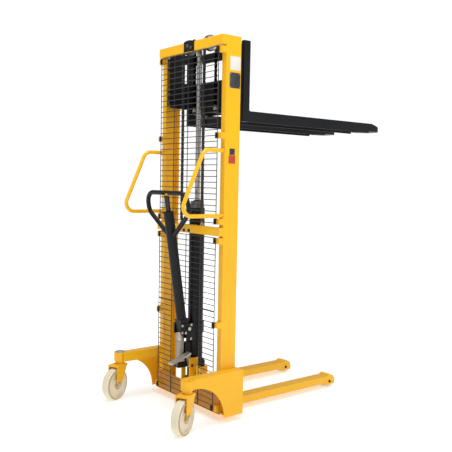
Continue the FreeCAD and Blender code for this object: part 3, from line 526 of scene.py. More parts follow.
def arc(middle: Point, across: Point, along: Point, end: float = math.tau, count: int = 33) -> list[Point]:
    """Gives points round an ellipse.

    Args:
        middle: The ellipse's middle.
        across: The half axis it starts from.
        along: The half axis it turns to.
        end: The angle it ends at.
        count: The number of points.

    Returns:
        The points.
    """
    turns = np.linspace(0.0, end, count)[:, None]
    return (np.array(middle) + np.cos(turns) * np.array(across) + np.sin(turns) * np.array(along)).tolist()


@dataclass(frozen=True)
class Profile:
    """The outline of a turned shape, as radius and height pairs.

    Attributes:
        points: The pairs along the outline.
        sides: Faces round the shape.
        ring: Whether the outline closes on itself.
    """

    points: tuple[Range, ...]
    sides: int = 32
    ring: bool = True

    @classmethod
    def band(cls, inner: float, outer: float, low: float, high: float, sides: int = 28) -> "Profile":
        """Gives a flat ring between two radii and two heights."""
        return cls(((inner, low), (outer, low), (outer, high), (inner, high)), sides)

    @classmethod
    def solid(cls, *points: Range, sides: int = 28) -> "Profile":
        """Gives a full shape whose ends reach the axis level with its first and last points."""
        return cls(((0.0, points[0][1]), *points, (0.0, points[-1][1])), sides, ring=False)


class Lathe:
    """Turned pieces, several of which may share one mesh."""

    def __init__(self) -> None:
        """Starts with an empty mesh."""
        self.mesh = bmesh.new()

    def turn(self, profile: Profile, place: Matrix) -> "Lathe":
        """Adds one turned shape.

        Args:
            profile: The shape's outline.
            place: Where the shape's axis and foot go.

        Returns:
            The lathe, for the next shape.
        """
        sides = profile.sides
        turns = [math.tau * index / sides for index in range(sides)]
        rows = []
        for radius, height in profile.points:
            around = turns if radius > ON_AXIS else turns[:1]
            spots = [Vector((radius * math.cos(turn), radius * math.sin(turn), height)) for turn in around]
            rows.append([self.mesh.verts.new(place @ spot) for spot in spots])
        for low, high in zip(rows, rows[1:] + rows[:1] if profile.ring else rows[1:]):
            for index in range(sides):
                after = (index + 1) % sides
                corners = [row[step % len(row)]
                           for row, step in ((low, index), (low, after), (high, after), (high, index))]
                self.mesh.faces.new(list(dict.fromkeys(corners)))
        return self


def rounded_plate(name: str, low: Point, high: Point, edge: float, material: Material) -> Piece:
    """Makes a plate with rounded corners and softened edges.

    Args:
        name: The piece's name.
        low: Its lowest corner.
        high: Its highest corner.
        edge: The rounding of its corners.
        material: Its material.

    Returns:
        The piece.
    """
    softening = 0.3
    shape = bmesh.new()
    bmesh.ops.create_cube(shape, size=1.0)
    size = Vector(high) - Vector(low)
    bmesh.ops.scale(shape, vec=size, verts=shape.verts)
    bmesh.ops.translate(shape, vec=Vector(low) + size / 2, verts=shape.verts)
    thin = min(range(3), key=lambda axis: size[axis])
    through = [item for item in shape.edges if abs((item.verts[0].co - item.verts[1].co)[thin]) > SAME_POINT]
    bmesh.ops.bevel(shape, geom=through, offset=edge, segments=4, affect="EDGES", profile=0.5)
    bmesh.ops.bevel(shape, geom=list(shape.edges), offset=min(edge, size[thin]) * softening, segments=2,
                    affect="EDGES", profile=0.5)
    bmesh.ops.remove_doubles(shape, verts=shape.verts, dist=SAME_POINT)
    return closed(name, shape, material)


class GrowTree:
    """A geometry node tree with named inputs, whose results become plain meshes."""

    def __init__(self, name: str, **inputs: str) -> None:
        """Starts a tree.

        Args:
            name: The tree's name.
            inputs: The socket kind of each named input.
        """
        self.tree = bpy.data.node_groups.new(name, "GeometryNodeTree")
        sockets = self.tree.interface
        for way in ("INPUT", "OUTPUT"):
            sockets.new_socket("Geometry", in_out=way, socket_type="NodeSocketGeometry")
        self._ids = {}
        for label, kind in {**inputs, "Material": "Material"}.items():
            made = sockets.new_socket(label, in_out="INPUT", socket_type=f"NodeSocket{kind}")
            self._ids[label] = made.identifier
        self.maker = NodeMaker(self.tree)
        self.given = self.maker.add("NodeGroupInput").outputs

    def named(self, name: str, kind: str) -> Socket:
        """Reads a named attribute of the points."""
        return self.maker.out("GeometryNodeInputNamedAttribute", {"Name": name}, data_type=kind)

    def cylinder(self, sides: int, radius: Any, depth: Any) -> Socket:
        """Adds an upright cylinder about the origin and returns its mesh."""
        given = {"Vertices": sides, "Radius": radius, "Depth": depth}
        return self.maker.out("GeometryNodeMeshCylinder", given)

    def cone(self, sides: int, radius: Any, taper: float, depth: Any) -> Socket:
        """Adds an upright cone whose top radius is a share of its lower one, and returns its mesh."""
        return self.maker.out("GeometryNodeMeshCone", {
            "Vertices": sides, "Radius Bottom": radius, "Radius Top": self.maker.times(radius, taper),
            "Depth": depth})

    def moved(self, geometry: Any, shift: Any = (0.0, 0.0, 0.0), angle: Point = (0.0, 0.0, 0.0)) -> Socket:
        """Turns and moves a geometry and returns it."""
        given = {"Geometry": geometry, "Translation": shift, "Rotation": angle}
        return self.maker.out("GeometryNodeTransform", given)

    def lifted(self, geometry: Any, height: Any) -> Socket:
        """Moves a geometry up and returns it."""
        return self.moved(geometry, self.maker.point(z=height))

    def spread(self, points: Any, instance: Any, **inputs: Any) -> Socket:
        """Puts a copy of a geometry on each point and returns the copies."""
        given = {"Points": points, "Instance": instance, **inputs}
        return self.maker.out("GeometryNodeInstanceOnPoints", given)

    def joined(self, *parts: Any) -> Socket:
        """Joins geometries.

        Args:
            parts: The geometries.

        Returns:
            The joined geometry.
        """
        node = self.maker.add("GeometryNodeJoinGeometry")
        for part in parts:
            self.tree.links.new(part, node.inputs[0])
        return node.outputs[0]

    def close(self, geometry: Any) -> "GrowTree":
        """Ends the tree with real geometry in the given material.

        Args:
            geometry: What the tree has made.

        Returns:
            The tree.
        """
        real = self.maker.out("GeometryNodeRealizeInstances", {"Geometry": geometry})
        given = {"Geometry": real, "Material": self.given["Material"]}
        self.maker.add("NodeGroupOutput", {"Geometry": self.maker.out("GeometryNodeSetMaterial", given)})
        return self

    def grow(self, name: str, seed: bpy.types.Mesh | None = None, place: Matrix | None = None,
             crease: float = SHARP_EDGE, **values: Any) -> Piece:
        """Runs the tree once and keeps the result as a plain mesh.

        Args:
            name: The piece's name.
            seed: The points or lines that the tree starts from, if any.
            place: A placement that is applied to the mesh.
            crease: The angle in degrees from which an edge stays sharp.
            values: The tree's inputs, by name.

        Returns:
            The piece.
        """
        holder = bpy.data.objects.new(f"{name}_seed", seed or bpy.data.meshes.new("seed"))
        bpy.context.scene.collection.objects.link(holder)
        modifier = holder.modifiers.new("grow", "NODES")
        modifier.node_group = self.tree
        for label, value in values.items():
            modifier[self._ids[label]] = value
        ready = holder.evaluated_get(bpy.context.evaluated_depsgraph_get())
        mesh = bpy.data.meshes.new_from_object(ready)
        bpy.data.objects.remove(holder)
        mesh.name = name
        if place:
            mesh.transform(place)
        return shown(name, mesh, crease=crease)


def seed_points(points: Path, **attributes: Sequence[Any]) -> bpy.types.Mesh:
    """Makes loose points with named attributes.

    Args:
        points: The points.
        attributes: A float or a vector for each point, by the attribute's name.

    Returns:
        The mesh.
    """
    mesh = bpy.data.meshes.new("seed_points")
    mesh.from_pydata([tuple(point) for point in points], [], [])
    for name, values in attributes.items():
        flat = np.array(values, np.float32)
        kind, key = ("FLOAT_VECTOR", "vector") if flat.ndim == 2 else ("FLOAT", "value")
        mesh.attributes.new(name, kind, "POINT").data.foreach_set(key, flat.ravel())
    return mesh


def seed_lines(paths: Sequence[Path]) -> bpy.types.Mesh:
    """Makes open polylines.

    Args:
        paths: The points along each line.

    Returns:
        The mesh.
    """
    points: list[tuple[float, ...]] = []
    edges: list[tuple[int, int]] = []
    for path in paths:
        first = len(points)
        points += [tuple(point) for point in path]
        edges += [(index, index + 1) for index in range(first, len(points) - 1)]
    mesh = bpy.data.meshes.new("seed_lines")
    mesh.from_pydata(points, edges, [])
    return mesh


@dataclass(frozen=True)
class Spot:
    """Where a bolt's head stands, the way it looks and its scale."""

    place: Point
    facing: Facing
    size: float = 1.0


class Workshop:
    """The node trees that the sub-assemblies share, each built once, and the ways to use them."""

    def __init__(self, palette: Palette) -> None:
        """Builds the trees.

        Args:
            palette: The part's materials.
        """
        self.palette = palette
        self.panel = self._panel()
        self.fastener = self._fastener()
        self.chain = self._chain()
        self.weld = self._weld()
        self.knob = self._knob()

    @staticmethod
    def _panel() -> GrowTree:
        """A welded panel of upright wires with level wires across them.

        Returns:
            The tree.
        """
        grow = GrowTree("wire_panel", Width="Float", Height="Float", Columns="Int", Rows="Int",
                        PostRadius="Float", RungRadius="Float", RungLift="Float")
        maker, given = grow.maker, grow.given
        wire_sides = 8

        def wires(end: Any, radius: str, count: str, step: Any, start: Any) -> Socket:
            """Repeats one straight wire along a row of points.

            Args:
                end: The wire's far end, seen from its near one.
                radius: The input that holds its radius.
                count: The input that holds the number of gaps.
                step: The way from one wire to the next.
                start: The first wire's place.

            Returns:
                The wires.
            """
            line = maker.out("GeometryNodeCurvePrimitiveLine", {"End": end})
            round_wire = {"Resolution": wire_sides, "Radius": given[radius]}
            ring = maker.out("GeometryNodeCurvePrimitiveCircle", round_wire)
            drawn = {"Curve": line, "Profile Curve": ring, "Fill Caps": True}
            wire = maker.out("GeometryNodeCurveToMesh", drawn)
            total = maker.math("ADD", given[count], 1.0)
            row = maker.out("GeometryNodeMeshLine", {"Count": total, "Start Location": start, "Offset": step})
            return grow.spread(row, wire)

        across = maker.math("DIVIDE", given["Width"], given["Columns"])
        up = maker.math("DIVIDE", given["Height"], given["Rows"])
        posts = wires(maker.point(z=given["Height"]), "PostRadius", "Columns", maker.point(x=across),
                      (0.0, 0.0, 0.0))
        rungs = wires(maker.point(x=given["Width"]), "RungRadius", "Rows", maker.point(z=up),
                      maker.point(y=maker.times(given["RungLift"], -1.0)))
        return grow.close(grow.joined(posts, rungs))

    @staticmethod
    def _fastener() -> GrowTree:
        """Hex heads with a washer, one on each point, looking along the point's facing.

        Returns:
            The tree.
        """
        grow = GrowTree("fastener", Radius="Float", Height="Float", Washer="Float")
        maker, given = grow.maker, grow.given
        washer_share, cap_share, cap_taper, washer_sides = 0.22, 0.18, 0.8, 20
        washer_height = maker.times(given["Height"], washer_share)
        washer = grow.lifted(grow.cylinder(washer_sides, given["Washer"], washer_height),
                             maker.times(washer_height, 0.5))
        half = maker.times(given["Height"], 0.5)
        head = grow.lifted(grow.cylinder(6, given["Radius"], given["Height"]), half)
        cap = grow.cone(6, given["Radius"], cap_taper, maker.times(given["Height"], cap_share))
        facing = grow.named("facing", "FLOAT_VECTOR")
        turn = maker.out("FunctionNodeAlignRotationToVector", {"Vector": facing}, axis="Z")
        bolt = grow.joined(washer, head, grow.lifted(cap, given["Height"]))
        size = grow.named("size", "FLOAT")
        return grow.close(grow.spread(given["Geometry"], bolt, Rotation=turn, Scale=size))

    @staticmethod
    def _chain() -> GrowTree:
        """Leaf chain links, one on each point, wide and narrow ones in turn.

        Returns:
            The tree.
        """
        grow = GrowTree("leaf_chain", Pitch="Float", PlateRadius="Float", Gauge="Float", Wide="Float",
                        Narrow="Float", PinRadius="Float", PinLength="Float")
        maker, given = grow.maker, grow.given
        level = (0.0, math.radians(90), 0.0)
        eye_sides, pin_sides = 10, 8

        def plate(across: Any) -> Socket:
            """Makes one plate with round ends.

            Args:
                across: Its place along the pins.

            Returns:
                The plate.
            """
            eye = grow.moved(grow.cylinder(eye_sides, given["PlateRadius"], given["Gauge"]),
                             maker.point(x=across), level)
            far = grow.lifted(eye, given["Pitch"])
            return maker.out("GeometryNodeConvexHull", {"Geometry": grow.joined(eye, far)})

        def links(reach: str, wanted: float) -> Socket:
            """Puts the links of one width on their points.

            Args:
                reach: The input that holds their plates' place along the pins.
                wanted: The kind of the points that carry them.

            Returns:
                The links.
            """
            pin = grow.moved(grow.cylinder(pin_sides, given["PinRadius"], given["PinLength"]), angle=level)
            link = grow.joined(plate(given[reach]), plate(maker.times(given[reach], -1.0)), pin)
            asked = {0: grow.named("kind", "FLOAT"), 1: wanted, "Epsilon": 0.1}
            chosen = maker.out("FunctionNodeCompare", asked, operation="EQUAL", data_type="FLOAT")
            turn = maker.out("FunctionNodeEulerToRotation", {0: maker.point(x=grow.named("tilt", "FLOAT"))})
            return grow.spread(given["Geometry"], link, Selection=chosen, Rotation=turn)

        return grow.close(grow.joined(links("Wide", 0.0), links("Narrow", 1.0)))

    @staticmethod
    def _weld() -> GrowTree:
        """A weld bead of overlapping drops along each line.

        Returns:
            The tree.
        """
        grow = GrowTree("weld_bead", Step="Float", Radius="Float", Seed="Int")
        maker, given = grow.maker, grow.given
        smallest, largest = 0.82, 1.12
        curve = maker.out("GeometryNodeMeshToCurve", {"Mesh": given["Geometry"]})
        evenly = {"Curve": curve, "Length": given["Step"]}
        spaced = maker.out("GeometryNodeResampleCurve", evenly, mode="LENGTH")
        drop = maker.out("GeometryNodeMeshUVSphere", {"Segments": 8, "Rings": 5, "Radius": given["Radius"]})
        size = maker.add("FunctionNodeRandomValue", {2: smallest, 3: largest, "Seed": given["Seed"]},
                         data_type="FLOAT").outputs[1]
        return grow.close(grow.spread(spaced, drop, Scale=size))

    @staticmethod
    def _knob() -> GrowTree:
        """A round cap with grip ribs about its side.

        Returns:
            The tree.
        """
        grow = GrowTree("ribbed_knob", Radius="Float", Height="Float", Ribs="Int", RibRadius="Float")
        maker, given = grow.maker, grow.given
        rim_share, crown_taper, rib_share, rib_middle, core_sides, rib_sides = 0.16, 0.78, 0.74, 0.42, 36, 6
        core = maker.math("SUBTRACT", given["Radius"], given["RibRadius"])
        rim = maker.times(given["Height"], rim_share)
        body_height = maker.math("SUBTRACT", given["Height"], rim)
        body = grow.lifted(grow.cylinder(core_sides, core, body_height), maker.times(body_height, 0.5))
        crown = grow.lifted(grow.cone(core_sides, core, crown_taper, rim), body_height)
        rib = grow.cylinder(rib_sides, given["RibRadius"], maker.times(given["Height"], rib_share))
        ring = maker.out("GeometryNodeMeshCircle", {"Vertices": given["Ribs"], "Radius": core})
        ribs = grow.spread(ring, grow.lifted(rib, maker.times(given["Height"], rib_middle)))
        return grow.close(grow.joined(body, crown, ribs))

    def bolts(self, name: str, body: str, spots: Sequence[Spot], slot: Slot = Slot.PLATED,
              radius: float = 0.008) -> Piece:
        """Sets hex bolts on a body.

        Args:
            name: The piece's name.
            body: The body that carries them.
            spots: The place of each bolt.
            slot: Their finish.
            radius: The heads' radius at scale one.

        Returns:
            The piece.
        """
        height_share, washer_share = 0.75, 1.3
        seed = seed_points([spot.place for spot in spots], facing=[spot.facing.value for spot in spots],
                           size=[spot.size for spot in spots])
        piece = self.fastener.grow(name, seed, Radius=radius, Height=radius * height_share,
                                   Washer=radius * washer_share, Material=self.palette[slot])
        return settle(piece, body, slot)

    def beads(self, name: str, body: str, paths: Sequence[Path], slot: Slot, radius: float = 0.0028) -> Piece:
        """Lays weld beads along lines on a body.

        Args:
            name: The piece's name.
            body: The body that carries them.
            paths: The lines.
            slot: Their finish.
            radius: The bead's radius.

        Returns:
            The piece.
        """
        step_share, round_edge, seed = 1.1, 80.0, 7
        piece = self.weld.grow(name, seed_lines(paths), crease=round_edge, Step=radius * step_share,
                               Radius=radius, Seed=seed, Material=self.palette[slot])
        return settle(piece, body, slot)

    def turned(self, name: str, body: str, slot: Slot, lathe: Lathe,
               material: Material | None = None) -> Piece:
        """Sets a lathe's shapes on a body as one piece, in the slot's material or another one."""
        return settle(closed(name, lathe.mesh, material or self.palette[slot]), body, slot)

    def ribbed(self, name: str, slot: Slot, foot: Sequence[float], radius: float, height: float, ribs: int,
               *stands_for: str) -> Piece:
        """Sets a ribbed knob or ring on the frame.

        Args:
            name: The piece's name.
            slot: Its finish.
            foot: The middle of its underside.
            radius: Its radius over the ribs.
            height: Its height.
            ribs: The number of ribs.
            stands_for: The nodes it stands for.

        Returns:
            The piece.
        """
        rib_radius = 0.0018
        piece = self.knob.grow(name, None, Matrix.Translation(foot), Radius=radius, Height=height, Ribs=ribs,
                               RibRadius=rib_radius, Material=self.palette[slot])
        return settle(piece, "frame", slot, *stands_for)


@dataclass
class WireGuard:
    """The wire panels in front of the lift gear and the bolts of their clips."""

    shop: Workshop
    upper: Box = node_box("upper_guard")
    strip: Box = node_box("left_guard_strip")
    clips: Box = node_box("guard_clips")
    columns: tuple[tuple[str, int], ...] = (("upper_guard", 4), ("lower_guard", 4), ("left_guard_strip", 1),
                                            ("right_guard_strip", 1))
    pitch: float = 0.031
    post_radius: float = 0.0023
    rung_radius: float = 0.0022
    rung_lift: float = 0.0014
    border: float = 0.002
    sill_rows: int = 3
    sill_columns: int = 2
    clip_side: float = 0.273
    clip_bolt: float = 0.0044

    def build(self) -> None:
        """Makes every panel and the clips' bolts."""
        for node, columns in self.columns:
            self._panel(node, columns)
        self._sill()
        spots = [Spot((side.value * self.clip_side, self.clips.low.y, height), Facing.FRONT)
                 for side in Side for height in LUG_HEIGHTS]
        self.shop.bolts("clip_bolts", "frame", spots, Slot.BLACK, self.clip_bolt)

    def _panel(self, node: str, columns: int) -> None:
        """Makes the round wires that stand for one net.

        Args:
            node: The net's node.
            columns: Its number of columns.
        """
        net = Box(*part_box(node))
        width, height = net.size.x - 2 * self.border, net.size.z - 2 * self.border
        piece = self._wires(f"{node}_wires", net.low.x + self.border, net.low.z + self.border, width, height,
                            columns)
        settle(piece, "frame", Slot.WIRE, node)

    def _sill(self) -> None:
        """Makes the few low wires that join the two strips in front of the cross plate."""
        tall = self.strip.size.z - 2 * self.border
        step = tall / round(tall / self.pitch)
        reach = -self.strip.high.x - self.post_radius
        piece = self._wires("guard_sill_wires", -reach, self.strip.low.z + self.border, 2 * reach,
                            self.sill_rows * step, self.sill_columns)
        settle(piece, "frame", Slot.WIRE)

    def _wires(self, name: str, left: float, base: float, width: float, height: float, columns: int) -> Piece:
        """Makes one panel of wires in the guard's plane.

        Args:
            name: The piece's name.
            left: The middle of its first upright wire.
            base: The middle of its lowest level wire.
            width: Its width between the outer wires' middles.
            height: Its height between the outer wires' middles.
            columns: Its number of columns.

        Returns:
            The piece.
        """
        place = Matrix.Translation((left, self.upper.middle.y + self.rung_lift / 2, base))
        return self.shop.panel.grow(
            name, None, place, Width=width, Height=height, Columns=columns, Rows=round(height / self.pitch),
            PostRadius=self.post_radius, RungRadius=self.rung_radius, RungLift=self.rung_lift,
            Material=self.shop.palette[Slot.WIRE])


@dataclass
class LiftGear:
    """The lift chains, the sheaves' faces and the cylinder's gland and fittings."""

    shop: Workshop
    sheave: Box = node_box("right_sheave")
    front_run: Box = node_box("anchor_chains")
    rear_run: Box = node_box("carriage_chains")
    gland: Box = node_box("cylinder_gland")
    travel: float = 1.6
    pitch: float = 0.0127
    plate_radius: float = 0.0054
    plate_gauge: float = 0.0033
    wide: float = 0.0062
    narrow: float = 0.0028
    pin_radius: float = 0.0024
    pin_length: float = 0.0158
    sheave_rim: Profile = Profile(((0.040, 0.0), (0.040, 0.0011), (0.0335, 0.0011), (0.0320, 0.0)), 40)
    sheave_hub: Profile = Profile(((0.0205, 0.0), (0.0205, 0.0022), (0.0190, 0.0030), (0.0118, 0.0030),
                                   (0.0118, 0.0)))
    clip_side: float = 0.1132
    clip_washer: Profile = Profile.band(0.0091, 0.0122, 0.0, 0.0016)
    clip_head: Profile = Profile.solid((0.0092, 0.0002), (0.0092, 0.0030), (0.0078, 0.0044))
    rod_seal: Profile = Profile(((0.0225, 0.0), (0.0225, 0.0030), (0.0205, 0.0045), (0.0165, 0.0060),
                                 (0.0152, 0.0060), (0.0152, 0.0)), 36)
    gland_ring_lift: float = 0.003
    gland_ring_radius: float = 0.040
    gland_ring_height: float = 0.022
    gland_ribs: int = 18
    nut_radius: float = 0.0095
    nut_lifts: Range = (0.0, 0.0078)
    anchor_nuts: float = 1.0524
    hanger_nuts: float = 1.7064

    def __post_init__(self) -> None:
        """Works out the sheaves' axle and the chains' path from the frame."""
        self.axle = self.sheave.middle
        self.front, self.rear = self.front_run.middle.y, self.rear_run.middle.y
        self.chain_radius = (self.rear - self.front) / 2

    def build(self) -> None:
        """Makes the chains and the fittings."""
        self._anchor_runs()
        self._carriage_runs()
        self._wraps()
        self._sheave_faces()
        self._fittings()

    def _links(self, name: str, points: list[Point], tilts: list[float], pitch: float,
               orders: list[float]) -> Piece:
        """Sets links on points of both chains, wide and narrow ones in turn.

        Args:
            name: The piece's name.
            points: The lower pin of each link on the middle plane.
            tilts: Each link's turn about the sheave's axis.
            pitch: The distance between pins.
            orders: A number that each link carries into the mesh.

        Returns:
            The piece.
        """
        both = [(side.value * self.axle.x, y, z) for side in Side for _, y, z in points]
        kinds = [index % 2 for index in range(len(points))]
        seed = seed_points(both, kind=kinds * 2, tilt=tilts * 2, order=orders * 2)
        return self.shop.chain.grow(
            name, seed, Pitch=pitch, PlateRadius=self.plate_radius, Gauge=self.plate_gauge, Wide=self.wide,
            Narrow=self.narrow, PinRadius=self.pin_radius, PinLength=self.pin_length,
            Material=self.shop.palette[Slot.CHAIN])

    def _run(self, name: str, node: str, place: float, rest: list[float], lowered: list[float],
             pitch: float) -> None:
        """Makes one straight run at its rest heights, each link carrying its share of the forks' travel.

        Args:
            name: The piece's name.
            node: The chain node it stands for.
            place: The run's place along Y.
            rest: Each link's height with the forks raised.
            lowered: Each link's height with the forks down.
            pitch: The distance between pins.
        """
        shares = [(up - down) / self.travel for up, down in zip(rest, lowered)]
        piece = self._links(name, [(0.0, place, height) for height in rest], [0.0] * len(rest), pitch, shares)
        weights = np.zeros(len(piece.data.vertices), np.float32)
        piece.data.attributes["order"].data.foreach_get("value", weights)
        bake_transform(piece)
        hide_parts(node)
        LOG.info("made %s between frame and carriage with %d links", name, len(rest))

    def _even(self, length: float) -> int:
        """Gives the even number of links that comes nearest to a length."""
        return 2 * round(length / self.pitch / 2)

    def _anchor_runs(self) -> None:
        """The runs from the middle beam up to the sheaves."""
        base = self.front_run.low.z
        length = self.axle.z - base
        count = self._even(length)
        pitch = length / count
        rest = [base + index * pitch for index in range(count)]
        lowered = self._folded(base, length - self.travel / 2, pitch, count)
        self._run("anchor_chain_links", "anchor_chains", self.front, rest, lowered, pitch)

    def _carriage_runs(self) -> None:
        """The runs from the sheaves down to the carriage."""
        base = self.rear_run.low.z
        length = self.axle.z - base
        longest = length + self.travel / 2
        count = self._even(longest)
        pitch = longest / count
        lowered = [base - self.travel + index * pitch for index in range(count)]
        rest = self._folded(base, length, pitch, count)
        self._run("carriage_chain_links", "carriage_chains", self.rear, rest, lowered, pitch)

    @staticmethod
    def _folded(base: float, length: float, pitch: float, count: int) -> list[float]:
        """Gives the links' heights in a run while it is short, with wide links on wide ones.

        Args:
            base: The run's lower end.
            length: The run's length while it is short.
            pitch: The distance between pins.
            count: The number of links.

        Returns:
            The height of each link, all between the run's ends.
        """
        places = 2 * round(length / pitch / 2)
        heights = []
        for index in range(count):
            place = index * places // count
            heights.append(base + (place - place % 2 + index % 2) * length / places)
        return heights

    def _wraps(self) -> None:
        """The links over the sheaves."""
        count = self._even(math.pi * self.chain_radius)
        step = math.pi / count
        turns = [index * step for index in range(count)]
        points = [(0.0, self.axle.y - self.chain_radius * math.cos(turn),
                   self.axle.z + self.chain_radius * math.sin(turn)) for turn in turns]
        chord = 2 * self.chain_radius * math.sin(step / 2)
        piece = self._links("chain_wrap_links", points, [-(turn + step / 2) for turn in turns], chord,
                            [0.0] * count)
        settle(piece, "rod", Slot.CHAIN, "chain_wraps")

    def _sheave_faces(self) -> None:
        """The sheaves' bright faces and the clips on their axle's ends."""
        for side in Side:
            face, clip = (pointed((side.value * x, self.axle.y, self.axle.z), side.outward.value)
                          for x in (self.sheave.high.x, self.clip_side))
            rings = Lathe().turn(self.sheave_rim, face).turn(self.sheave_hub, face)
            self.shop.turned(f"{side.word}_sheave_rings", f"{side.word}_sheave", Slot.PLATED, rings)
            ends = Lathe().turn(self.clip_washer, clip).turn(self.clip_head, clip)
            self.shop.turned(f"{side.word}_axle_clip", "rod", Slot.PLATED, ends)

    def _fittings(self) -> None:
        """The rod's seal, the gland's ring and the chains' nuts."""
        top = Matrix.Translation((0.0, self.axle.y, self.gland.high.z))
        self.shop.turned("rod_seal", "frame", Slot.PLASTIC, Lathe().turn(self.rod_seal, top),
                         self.shop.palette.rubber)
        foot = (0.0, self.axle.y, self.gland.low.z + self.gland_ring_lift)
        self.shop.ribbed("gland_ring", Slot.CAST, foot, self.gland_ring_radius, self.gland_ring_height,
                         self.gland_ribs)
        for name, body, y, base in (("anchor_nuts", "frame", self.front, self.anchor_nuts),
                                    ("hanger_nuts", "carriage", self.rear, self.hanger_nuts)):
            nuts = [Spot((side.value * self.axle.x, y, base + lift), Facing.UP)
                    for side in Side for lift in self.nut_lifts]
            self.shop.bolts(name, body, nuts, radius=self.nut_radius)


@dataclass
class MastFrame:
    """The small pieces on the mast and base: bolts, plates and welds."""

    shop: Workshop
    upright: Box = node_box("right_upright")
    top_beam: Box = node_box("top_beam")
    middle_beam: Box = node_box("middle_beam")
    cross_plate: Box = node_box("lower_cross_plate")
    bracket: Box = node_box("pump_bracket")
    handle: Box = node_box("right_grab_handle")
    housing: Box = node_box("right_kingpin_housing")
    leg: Box = node_box("right_leg")
    roller: Box = node_box("right_load_roller")
    saddle: Box = node_box("top_saddle")
    beam_bolt_side: float = 0.024
    beam_bolt_height: float = 1.023
    beam_bolt: float = 0.0075
    saddle_bolt: float = 0.0085
    saddle_step: float = 2.084
    saddle_tops: Range = (-0.022, 0.030)
    saddle_faces: tuple[Point, ...] = ((-0.010, 2.060, 1.0), (0.022, 2.048, 0.8))
    axle_bolt: float = 0.0070
    plate_gauge: float = 0.0011
    plate_corner: float = 0.003
    rivet: float = 0.0022
    rivet_inset: float = 0.005
    rivet_lift: float = 0.001
    handle_face: float = -0.0015
    handle_ends: Range = (1.470, 1.120)
    ring_lift: float = 0.0008
    seam_gap: float = 0.0005
    seam_inset: float = 0.002
    cheek_end: float = -0.001
    bar_gap: float = 0.001
    bar_ends: Range = (0.036, 0.074)
    lug_half: float = 0.0165
    lug_inset: float = 0.006

    def build(self) -> None:
        """Makes the pieces."""
        self._bolts()
        self._plates()
        self._welds()

    def _bolts(self) -> None:
        """Bolts of the beams, the saddle and the leg noses."""
        bolts, front = self.shop.bolts, self.saddle.low.y
        beam = [Spot((side.value * self.beam_bolt_side, self.middle_beam.low.y, self.beam_bolt_height),
                     Facing.FRONT) for side in Side]
        bolts("middle_beam_bolts", "frame", beam, Slot.BLACK, self.beam_bolt)
        top = [Spot((x, self.top_beam.middle.y, self.saddle_step), Facing.UP) for x in self.saddle_tops]
        bolts("saddle_top_bolts", "frame", top, Slot.BLACK, self.saddle_bolt)
        face = [Spot((x, front, z), Facing.FRONT, size) for x, z, size in self.saddle_faces]
        bolts("saddle_face_bolts", "frame", face, Slot.CAST, self.saddle_bolt)
        noses = []
        for side in Side:
            for x, facing in ((self.leg.high.x, side.outward), (self.leg.low.x, side.inward)):
                noses.append(Spot((side.value * x, self.roller.middle.y, self.roller.middle.z), facing))
        bolts("load_axle_bolts", "frame", noses, Slot.BLACK, self.axle_bolt)

    def _plates(self) -> None:
        """The bare plates on the right upright, a pale plate on the left upright's front that paints a
        highlight, and rivets on the large dark one.
        """
        palette, web = self.shop.palette, self.upright.high.x
        dark_low, dark_high = (0.024, 1.804), (0.096, 1.886)
        for name, low, high, material in (
                ("pale_bare_plate", (0.026, 1.899), (0.096, 1.972), palette.pale),
                ("dark_bare_plate", dark_low, dark_high, palette.dark),
                ("red_bare_plate", (0.026, 1.402), (0.072, 1.446), palette.red),
                ("small_bare_plate", (0.032, 1.448), (0.068, 1.482), palette.dark)):
            plate = rounded_plate(name, (web, *low), (web + self.plate_gauge, *high), self.plate_corner,
                                  material)
            settle(plate, "frame", None)
        # A thin pale plate on the left upright's front flange paints a highlight there.
        front = rounded_plate("front_highlight_plate", (-0.3035, -self.plate_gauge, 1.136), (-0.2705, 0.0, 1.198),
                              self.plate_corner, palette.pale)
        settle(front, "frame", None)
        ys, zs = ((low + self.rivet_inset, high - self.rivet_inset) for low, high in zip(dark_low, dark_high))
        rivets = [Spot((web + self.rivet_lift, y, z), Facing.RIGHT) for y in ys for z in zs]
        self.shop.bolts("plate_rivets", "frame", rivets, Slot.PLATED, self.rivet)

    def _welds(self) -> None:
        """Weld beads at the lugs, handles, beams and base."""
        paths = [path for side in Side for path in (*self._mast_seams(side.value), *self._base_seams(side))]
        self.shop.beads("frame_welds", "frame", paths, Slot.YELLOW)

    def _mast_seams(self, sign: int) -> list[Path]:
        """Gives the seams of the lugs, beams and handle on one upright.

        Args:
            sign: The side's sign along X.

        Returns:
            The seams' lines.
        """
        web, tip = sign * self.upright.high.x, sign * self.upright.low.x
        paths: list[Path] = []
        for height in LUG_HEIGHTS[:-1]:
            for edge in (height - self.lug_half, height + self.lug_half):
                paths.append([(tip + sign * self.lug_inset, -BEAD_LIFT, edge),
                              (web, -BEAD_LIFT, edge)])
        for height in (self.top_beam.low.z - self.seam_gap, self.middle_beam.low.z - self.seam_gap,
                       self.middle_beam.high.z + self.seam_gap):
            paths.append([(tip, -BEAD_LIFT, height),
                          (web - sign * self.seam_inset, -BEAD_LIFT, height)])
        reach = self.handle.size.x / 2 + self.ring_lift
        for height in self.handle_ends:
            paths.append(arc((sign * self.handle.middle.x, self.handle_face, height), (reach, 0.0, 0.0),
                             (0.0, 0.0, reach)))
        return paths

